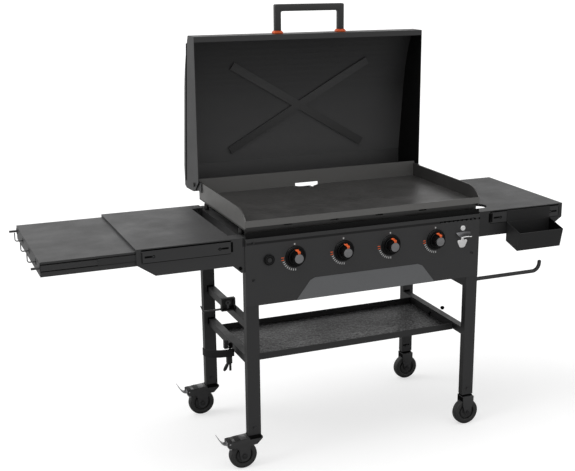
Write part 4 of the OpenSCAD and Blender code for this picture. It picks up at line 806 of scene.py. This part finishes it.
def opener_cast():
    """The bottle opener: a screwed eye, a claw that stands out from the panel, and its shield."""
    cx, face = CLAW_X, FACE_Y
    eye = turned("opener_cast", [(3.6, -0.2), (3.6, -2.6), (4.6, -3.4), (8.8, -3.4), (9.8, -2.6),
                                 (9.8, -0.2)], (EYE_X, face, EYE_Z), closed=True)
    screw = turned("opener_screw", [(0.4, -2.9), (2.4, -2.7), (3.5, -1.8), (3.5, -0.4), (0.4, -0.4)],
                   (EYE_X, face, EYE_Z))
    side = [(5, 770), (6, 758.4), (14, 759.6), (20.4, 756.6), (20.2, 751), (11.6, 732), (6, 728.8)]
    outline = [(cx - 3 - a, b) for a, b in side] + [(cx - 3 + a, b) for a, b in side[::-1]]
    shield = slab("opener_shield", outline, "y", face - 2.6, face - 0.2, 0.7, 3)
    finished(joined("opener_cast", [eye, screw, shield]), "cart", "bright_steel", "opener_painted_glint")
    tongue = ((30.5, -0.6, 789.5), (30.0, -3.0, 787.0), (27.5, -12.0, 781.5), (24.0, -21.0, 777.5),
              (21.5, -26.0, 776.5))
    rows = [[(cx + wide * share, face + reach, z - 2.5 * abs(share)) for share in (-1, -0.5, 0, 0.5, 1)]
            for wide, reach, z in tongue]
    claw = rounded(sheet("opener_claw", rows, 2.2), 0.6, 3)
    finished(claw, "cart", "bright_steel", "claw_steel")
    lip = wire("opener_lip", [(cx - 21.5, face - 26, 774.2), (cx, face - 26.4, 776.2),
                              (cx + 21.5, face - 26, 774.2)], 1.9)
    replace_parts(finished(lip, "cart", "bright_steel", "opener_painted_glint"), "bottle_opener")


opener_cast()


# Hood

GRIP_END, POST_IN, POST_FOOT, GRIP_LOW, GRIP_HIGH = 142.5, 118.5, 1502, 1575, 1601
GRIP_FRONT, GRIP_BACK = 256.5, 278
COLLAR_IN, COLLAR_OUT = 113, 148
HOOD_SIDE = 472


def hood_handle():
    """The handle as one bent square tube, standing on two stepped collars."""
    round_out, round_in = 6, 7
    outline = [(-GRIP_END, POST_FOOT)]
    outline += corner((-GRIP_END + round_out, GRIP_HIGH - round_out), round_out, 180, 90)
    outline += corner((GRIP_END - round_out, GRIP_HIGH - round_out), round_out, 90, 0)
    outline += [(GRIP_END, POST_FOOT), (POST_IN, POST_FOOT)]
    outline += corner((POST_IN - round_in, GRIP_LOW - round_in), round_in, 0, 90)
    outline += corner((-POST_IN + round_in, GRIP_LOW - round_in), round_in, 90, 180)
    outline += [(-POST_IN, POST_FOOT)]
    grip = slab("handle_tube", outline, "y", GRIP_FRONT, GRIP_BACK, 2.4, 3)
    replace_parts(finished(grip, BODY_OF["handle_bar"], SLOT_OF["handle_bar"]), "handle_bar", "handle_posts")
    low, high = -COLLAR_OUT, -COLLAR_IN
    foot = [block("base", (low, 251, 1492), (high, 283, 1499.5), 1.8, 3),
            block("step", (low + 2.5, 253.5, 1499), (high - 2.5, 280.5, 1503), 1.4, 3)]
    feet = joined("handle_feet", foot + [copied(part, COLLAR_IN + COLLAR_OUT) for part in foot])
    collars = finished(feet, BODY_OF["handle_collars"], SLOT_OF["handle_collars"])
    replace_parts(collars, "handle_collars")


def hood_side_seam_shade():
    """Painted shade of the fold that runs down both sides of the hood beside its rear flange: thin
    near-black strips.
    """
    outline = [(318, 1462), (331, 1462), (368, 1170), (395, 932), (382, 928), (355, 1170)]
    parts = [slab("fold", outline, "x", side * HOOD_SIDE - 0.4, side * HOOD_SIDE + 0.4, 0)
             for side in (-1, 1)]
    finished(joined("hood_side_seam_shade", parts), BODY_OF["hood_shell"], "black_coat", "deep_shadow")


hood_handle()
hood_side_seam_shade()


# Shelf rails

# Spans of the near-black strips painted as shade along the rails' seams
SEAMS = ((512, 820, 849.0, 853.4), (505.5, 513.8, 812, 847), (514, 820, 806.4, 808.8))
SLOT_LOW, SLOT_HIGH = 825.6, 832.2
SLOT_SPANS = ((-810, -786), (-545, -522), (525, 549), (788, 810))
KEYHOLES = (-780, -552, 556, 781)


def rail_marks():
    """Painted shade: near-black strips on the seams round the slotted rails, at their ends and in the right
    rail's mouth, and near-black backs and rings in their keyhole slots with round ends.
    """
    dark = []
    front, back = RAIL_Y - 0.2, RAIL_Y + 0.2
    for side in (-1, 1):
        for x0, x1, z0, z1 in SEAMS:
            lo, hi = sorted((side * x0, side * x1))
            dark.append(block("seam", (lo, SHELF_Y - 0.35, z0), (hi, SHELF_Y + 0.1, z1), 0))
        lo, hi = sorted((side * 817.6, side * 819.6))
        dark.append(block("edge", (lo, front, 811), (hi, back, 845), 0))
    dark.append(block("mouth", (514.2, front, 813), (520, back, 847), 0))
    for x0, x1 in SLOT_SPANS:
        dark.append(block("slot_back", (x0, RAIL_Y - 0.12, SLOT_LOW), (x1, SHELF_Y - 0.3, SLOT_HIGH), 0))
    ring = [(3.4, -0.2), (5.2, -0.2), (5.2, 0.2), (3.4, 0.2)]
    for x in KEYHOLES:
        dark.append(turned("ring", ring, (x, RAIL_Y - 0.05, 828.6), closed=True, steps=24))
    finished(joined("rail_seam_shade", dark), "cart", "black_coat", "deep_shadow")


rail_marks()


def towel_bar():
    """The towel rod with its upturned end and the flange that holds it to the leg."""
    y, low, leg, reach, bend, tip_x = -250.5, 590.25, 464, 725.3, 30, 756
    points = [(leg, y, low), (600, y, low), (reach, y, low)]
    points += [(reach + bend * math.sin(math.radians(a)), y, low + bend * (1 - math.cos(math.radians(a))))
               for a in range(10, 81, 10)]
    points += [(tip_x - 0.8, y, 617.6), (tip_x, y, 627.5)]
    rod = wire("towel_bar", points, 7.4)
    tip = turned("tip", [(0.4, 626.5), (7.3, 626.5), (7.2, 628.6), (5.6, 630.8), (2.8, 631.8),
                         (0.4, 631.9)], (tip_x, y, 0), "z", steps=28)
    flange = turned("flange", [(0.4, 0), (14, 0), (14, 2), (12.8, 3), (9.6, 3.4), (8.2, 5.5), (0.4, 5.5)],
                    (leg, y, low), "x", steps=40)
    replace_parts(finished(joined("towel_bar", [rod, tip, flange]), BODY_OF["towel_rod"],
                         SLOT_OF["towel_rod"]), "towel_rod")


towel_bar()


# Bottom shelf's embossed floor

def embossed_floor():
    """A thin floor sheet with raised pebbles, lying in the tray."""
    low, high = TRAY_LOW, TRAY_HIGH
    wall, rise = 2.2 * MM, 2.4 * MM
    nothing_selected()
    bpy.ops.mesh.primitive_grid_add(x_subdivisions=240, y_subdivisions=100, size=1,
                                    location=((low.x + high.x) / 2, (low.y + high.y) / 2, low.z + rise))
    obj = bpy.context.view_layer.objects.active
    obj.scale = (high.x - low.x - 2 * wall, high.y - low.y - 2 * wall, 1)
    floor = named("tray_floor")
    pebbles = bpy.data.textures.new("pebbles", "VORONOI")
    pebbles.noise_scale = 0.014
    pebbles.distance_metric = "DISTANCE"
    modifier(floor, "DISPLACE", texture=pebbles, texture_coords="LOCAL", strength=-3.0 * MM,
             mid_level=0.45, direction="Z")
    smooth(floor, 60)
    finished(floor, "cart", "black_coat", "pebbled_sheet")


embossed_floor()


# Casters

AXLE_Z = 51
CASTER_Y = 252.5
SWIVEL_X = -440.5
TRAIL = 43
RIGID_X = 440.5
FORK_HALF, FORK_SHEET = 22.4, 2.6
ENDS = (("front", -CASTER_Y), ("rear", CASTER_Y))


def caster_wheels():
    """Moulded wheels: crowned tread, a groove round the disc, and a raised hub."""
    half = [(4.6, 19.4), (8.6, 19.4), (9.4, 18.6), (12.0, 18.2), (12.8, 12.4), (25.6, 11.2), (27.2, 7.0),
            (30.2, 7.0), (31.2, 12.6), (33.0, 14.6), (38.6, 15.3), (40.0, 14.7), (44.8, 14.9), (47.8, 14.0),
            (49.8, 11.4), (50.8, 6.0), (51.0, 2.0)]
    profile = half + [(r, -v) for r, v in reversed(half)]
    x0, y0 = SWIVEL_X - TRAIL, -CASTER_Y
    wheel = turned("wheel", profile, (x0, y0, AXLE_Z), closed=True, steps=72, angle=30)
    spots = [(side, end, x, y) for side, x in (("left", x0), ("right", RIGID_X)) for end, y in ENDS]
    wheels = [wheel] + [copied(wheel, x - x0, y - y0) for _, _, x, y in spots[1:]]
    for made, (side, end, _, _) in zip(wheels, spots):
        renamed(made, "caster_wheel_%s_%s" % (side, end))
        finished(made, "roller_%s_%s" % (side, end), "tyre_rubber")
        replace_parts(made, "wheel_%s_%s" % (side, end))


caster_wheels()


def hex_nut(name, centre, radius, low, high):
    """A hexagon nut on an axle that runs along Y."""
    corners = corner((centre[0], centre[2]), radius, 0, 300, 5)
    return slab(name, corners, "y", centre[1] + low, centre[1] + high, 0.6)


def axle_ends(x, y):
    """Nuts and washers on both ends of a wheel's bolt."""
    parts = []
    for side in (-1, 1):
        near, far = sorted((side * 22.6, side * 24.0))
        parts.append(turned("washer", [(0.4, near), (10.4, near), (10.4, far), (0.4, far)],
                            (x, y, AXLE_Z), steps=32))
        near, far = sorted((side * 24.0, side * 26.3))
        parts.append(hex_nut("nut", (x, y, AXLE_Z), 7.4, near, far))
    return parts


def fork_arms(outline, y):
    """The two sheet arms of a fork, one on each side of its wheel."""
    return [slab("arm", outline, "y", y + low, y + low + FORK_SHEET, 0.7, 3)
            for low in (-FORK_HALF, FORK_HALF - FORK_SHEET)]


def trailing(points):
    """Points given by their reach behind a swivel's axis, as points of the drawing."""
    return [(SWIVEL_X - reach, z) for reach, z in points]


def swivel_pieces(y):
    """A swivel fork's folded crown and arms, race, painted highlight, painted shade and axle, each with its
    finish.
    """
    near, far = y - FORK_HALF, y + FORK_HALF
    arm = trailing([(-27, 113.5), (-27, 110), (-6, 90), (20, 88), (21, 52), (24, 42), (31, 34), (40, 31),
                    (49, 33), (56, 40), (59, 50), (62, 74), (70, 86), (94, 88), (101, 93), (103.5, 97),
                    (103.6, 113.5), (27, 119), (-27, 119)])
    crown = trailing([(-27.5, 112), (-27.5, 116.5), (-25, 119), (27, 119), (103.5, 113.5), (103.5, 110),
                      (27, 116.2), (-24, 116.2)])
    nose = trailing([(103.6, 113), (103.6, 96), (101.2, 96), (101.2, 113)])
    parts = fork_arms(arm, y) + [slab("crown", crown, "y", near, far, 0.9, 3),
                                 slab("nose", nose, "y", near, near + 7, 0.5),
                                 slab("nose", nose, "y", far - 7, far, 0.5)]
    race = block("race", (SWIVEL_X - 23, y - 22.9, 110.5), (SWIVEL_X + 23, y + 22.9, 122.9), 3, 4)
    # painted highlight: pale plates and spots on the crown's top
    plate = trailing([(34, 118.3), (34, 119.4), (54, 118.0), (54, 116.9)])
    spots = trailing([(78, 115.3), (78, 116.3), (86, 115.7), (86, 114.7)])
    highlight = [slab("highlight", plate, "y", y - 21, y + 21, 0.4), slab("highlight", spots, "y", y - 21, y - 2, 0.4)]
    folds = [trailing([(57, 116.7), (57, 117.8), (76, 116.4), (76, 115.3)]),
             trailing([(87.5, 114.4), (87.5, 115.5), (103, 114.4), (103, 113.3)])]
    shade = [slab("shade", fold, "y", y - 21.5, y + 21.5, 0.2) for fold in folds]
    axle_x = SWIVEL_X - TRAIL
    bolt = turned("bolt", [(0.4, -22), (3.9, -22), (3.9, 22), (0.4, 22)], (axle_x, y, AXLE_Z), steps=24)
    return [("fork", joined("fork", parts), None), ("swivel_race", race, "deep_shadow"),
            ("crown_highlight", joined("highlight", highlight), "crown_highlight"),
            ("crown_shade", joined("shade", shade), "seam_dark"),
            ("axle", joined("axle", [bolt] + axle_ends(axle_x, y)), "dark_zinc")]


def swivel_forks():
    """The front swivel fork and its copy at the rear."""
    front = swivel_pieces(-CASTER_Y)
    rear = [(name, copied(piece, y=2 * CASTER_Y), finish) for name, piece, finish in front]
    for end, pieces in (("front", front), ("rear", rear)):
        for name, piece, finish in pieces:
            finished(renamed(piece, "%s_%s" % (name, end)), "swivel_" + end, "caster_grey", finish)
        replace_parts(pieces[0][1], "swivel_fork_" + end)


swivel_forks()


TIP_Z, TIP_R = 56, 13


def rigid_forks():
    """The fixed forks: a folded crown under the leg and two tapered arms down to the axle."""
    y, left, right = -CASTER_Y, RIGID_X - 22, RIGID_X + 22
    tip = corner((RIGID_X, TIP_Z), TIP_R, -180, 0, 9)
    arm = [(left, 118), (left + 0.5, 84)] + tip + [(right + 3, 86), (right + 3.5, 118)]
    forks = fork_arms(arm, y)
    forks.append(block("crown", (left, y - 22.2, 115), (right + 3.5, y + 22.2, 118), 0.8, 3))
    wedge = [(left + 0.4, 98.5), (left + 0.4, 115), (right, 115), (right, 104), (left + 10, 104)]
    shades = [slab("shade", wedge, "y", y - 19.6, y + 19.6, 1),
              block("gap", (left - 0.6, y - 14.4, 118), (right + 0.6, y + 14.4, 123.2), 1)]
    forks += [copied(part, y=2 * CASTER_Y) for part in forks]
    shades += [copied(part, y=2 * CASTER_Y) for part in shades]
    finished(joined("rigid_fork_shade", shades), "cart", "caster_grey", "deep_shadow")
    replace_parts(finished(joined("rigid_fork_arms", forks), "cart", "caster_grey"), "rigid_forks")


rigid_forks()


# Tank fittings

def hanger_pieces():
    """The hanger's boxed plate with its keyhole, and the arm that runs out from it."""
    y = -40
    rims = ((-487, -434, 573, 579), (-487, -434, 531, 536), (-487, -481.5, 536, 573),
            (-439.5, -434, 536, 573))
    ring = [block("rim", (x0, y - 24, z0), (x1, y - 6, z1), 1.2, 3) for x0, x1, z0, z1 in rims]
    ring.append(block("back", (-486, y - 12, 532), (-435, y - 6, 578), 0.6))
    finished(joined("hanger_plate", ring), "cart", "black_coat", "bracket_coat")
    arm = strip("hanger_arm", [(-482, 539.5), (-552, 539.5)], "y", y - 24, y - 10, 3.4, 0.6)
    hook = strip("hook", [(-551, 533), (-556, 541), (-563, 561)], "y", y - 24, y - 10, 3.2, 0.6)
    finished(joined("hanger_arm", [arm, hook]), "cart", "black_coat", "arm_coat")
    boss = turned("hanger_key", [(3.4, 0), (3.4, -5.0), (4.8, -6.2), (8.6, -6.2), (9.8, -5.0), (9.8, 0)],
                  (-460, y - 11.6, 560), closed=True, steps=32)
    slot = block("hanger_slot", (-464.6, y - 17.4, 538), (-456.4, y - 11.6, 552), 1.4, 3)
    finished(joined("hanger_key", [boss, slot]), "cart", "zinc_steel", "bracket_light")
    pad = block("hanger_pad", (-452, y - 23.4, 531.6), (-431, y - 12, 545), 2.0, 3)
    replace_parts(finished(pad, "cart", "black_coat", "deep_shadow"), "tank_hanger")


def brace_clamp():
    """The brace's curved band, its clamp beside the rail, and the screw below with its wing handle."""
    y, axis = -66, -461
    path = [(-552, -26), (-550, -42), (-541, -57), (-524, -70), (-502, -79), (-478, -82.5), (-450, -82.5)]
    band = strip("brace_band", path, "z", 361, 390, 3.2, 0.5)
    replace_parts(finished(band, BODY_OF["tank_brace"], SLOT_OF["tank_brace"], "seam_dark"), "tank_brace")
    jaw = block("clamp_jaw", (-484, y - 9, 389), (-468, y + 9, 421), 2.4, 3)
    finished(jaw, "cart", "black_coat", "bracket_coat")
    nut = turned("clamp_nut", [(0.4, 394), (6.4, 394.6), (7.4, 397), (7.4, 409), (6.4, 411.4), (0.4, 412)],
                 (axis, y - 11, 0), "z", steps=24)
    finished(nut, "cart", "black_coat", "deep_shadow")
    shaft = turned("clamp_screw", [(0.4, 300), (4.4, 300), (4.4, 394), (0.4, 394)], (axis, y, 0), "z",
                   steps=24)
    shoe = block("shoe", (axis - 13.5, y - 9, 329), (axis + 6.5, y + 9, 359.5), 2.6, 3)
    wing = slab("wing", [(axis - 9, 334), (axis - 17, 326), (axis - 25, 312), (axis - 27.5, 302),
                         (axis - 22, 300), (axis - 15, 306), (axis - 8, 320), (axis - 3, 333)],
                "y", y - 5, y + 5, 2.2, 3)
    screw = finished(joined("clamp_screw", [shaft, shoe, wing]), BODY_OF["brace_screw"],
                     SLOT_OF["brace_screw"], "bracket_coat")
    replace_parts(screw, "brace_screw")


brace_clamp()
hanger_pieces()


# Joints of the frame

LEG_BACK_Y = 238.4
LEG_IN_X, LEG_EDGE_X = 449, 444.5
RAIL_TOPS = (533, 400)


def rail_joints():
    """Painted shade, as near-black strips, in the corners where the side rails run onto the rear legs and in
    a slot low on the right rear leg, and the small bolts beside them.
    """
    parts = []
    front = LEG_BACK_Y - 1.2
    for side in (-1, 1):
        for top in RAIL_TOPS:
            lo, hi = sorted((side * LEG_IN_X, side * LEG_EDGE_X))
            parts.append(block("seam", (lo, front, top - 20), (hi, LEG_BACK_Y, top + 1), 0))
            lo, hi = sorted((side * LEG_IN_X, side * 424))
            parts.append(block("seam", (lo, front, top), (hi, LEG_BACK_Y, top + 6), 0))
    parts.append(block("slot", (421, LEG_BACK_Y - 0.6, 152.6), (452, LEG_BACK_Y, 158), 0))
    finished(joined("rail_joint_shade", parts), "cart", "black_coat", "deep_shadow")
    head = turned("gusset_bolt", [(0.4, -5.4), (3.6, -5.2), (5.4, -3.8), (6.2, -1.4), (6.2, 0), (0.4, 0)],
                  (-480.5, SHELF_Y - 0.2, 750.8), steps=24)
    finished(head, "cart", "black_coat", "deep_shadow")
    knob = turned("rail_bolt", [(0.4, 411), (5.6, 410.2), (8.2, 407), (8.6, 403), (6.4, 401.4),
                                (6.4, 398.5), (0.4, 398.5)], (458, -24, 0), "z", steps=28)
    bolt = [(0.4, -3.2), (3.2, -2.6), (4.2, -0.8), (4.2, 0.4), (0.4, 0.4)]
    heads = [turned("tray_bolt", bolt, (414.6, y, z), "x", steps=24) for y, z in ((-2, 384), (6, 376.5))]
    finished(joined("rail_bolts", [knob] + heads), "cart", "black_coat", "deep_shadow")


rail_joints()


# Studio

FLOOR_SIZE, FLOOR_BACK = 260, 40
FLOOR_GREY, FLOOR_GLOW = 0.5, 0.62
SKY_LIGHT, SKY_SEEN = 0.42, 1.0
LAMPS = (("key_light", 1.35, 40, (38, 0, -100)), ("top_light", 0.75, 60, (8, -6, 0)))


def studio():
    """A pale floor under a white sky, a broad lamp from the side and a softer one from above."""
    nothing_selected()
    bpy.ops.mesh.primitive_plane_add(size=FLOOR_SIZE, location=(0, FLOOR_BACK, 0))
    floor = named("studio_floor")
    made, nodes, links, shader = new_material("studio_floor")
    socket_value(shader, "Base Color", (FLOOR_GREY, FLOOR_GREY, FLOOR_GREY, 1))
    socket_value(shader, "Roughness", 0.9)
    glow = nodes.new("ShaderNodeEmission")
    path = nodes.new("ShaderNodeLightPath")
    links.new(times(nodes, links, path.outputs["Is Camera Ray"], FLOOR_GLOW), glow.inputs["Strength"])
    both = nodes.new("ShaderNodeAddShader")
    links.new(shader.outputs[0], both.inputs[0])
    links.new(glow.outputs[0], both.inputs[1])
    links.new(both.outputs[0], nodes["Material Output"].inputs["Surface"])
    floor.data.materials.append(made)

    world = bpy.data.worlds.new("studio_sky")
    bpy.context.scene.world = world
    world.use_nodes = True
    nodes, links = world.node_tree.nodes, world.node_tree.links
    path = nodes.new("ShaderNodeLightPath")
    seen = math_node(nodes, links, "MAXIMUM", path.outputs["Is Camera Ray"], path.outputs["Is Glossy Ray"])
    seen = math_node(nodes, links, "MAXIMUM", seen, path.outputs["Is Transmission Ray"])
    sky = nodes["Background"]
    socket_value(sky, "Color", (1, 1, 1, 1))
    links.new(ramp(nodes, links, seen, 0.0, 1.0, SKY_LIGHT, SKY_SEEN), sky.inputs["Strength"])

    for name, strength, spread, turn in LAMPS:
        lamp = bpy.data.lights.new(name, "SUN")
        lamp.energy = strength
        lamp.angle = math.radians(spread)
        obj = bpy.data.objects.new(name, lamp)
        obj.rotation_euler = [math.radians(v) for v in turn]
        bpy.context.scene.collection.objects.link(obj)


def camera():
    """The photograph's own viewpoint, from the front left and above."""
    place = Vector((-1592.105, -3529.313, 1790.551))
    pan, tilt, roll = 0.4193766, -0.2744738, 0.0020107
    focal, centre = 1051.7694, (332.5811, 248.1456)
    wide, tall = 575, 471
    ahead = Vector((math.sin(pan) * math.cos(tilt), math.cos(pan) * math.cos(tilt), math.sin(tilt)))
    right = Vector((math.cos(pan), -math.sin(pan), 0))
    up = right.cross(ahead)
    right, up = (math.cos(roll) * right + math.sin(roll) * up, math.cos(roll) * up - math.sin(roll) * right)
    data = bpy.data.cameras.new("camera")
    obj = bpy.data.objects.new("camera", data)
    obj.matrix_world = Matrix((right, up, -ahead)).transposed().to_4x4()
    obj.location = at(*place)
    data.sensor_width = 36
    data.lens = 36 * focal / wide
    data.shift_x = (wide / 2 - centre[0]) / wide
    data.shift_y = (centre[1] - tall / 2) / wide
    data.clip_end = 400
    bpy.context.scene.collection.objects.link(obj)
    bpy.context.scene.camera = obj


studio()
camera()
bpy.context.scene.view_settings.view_transform = "Standard"
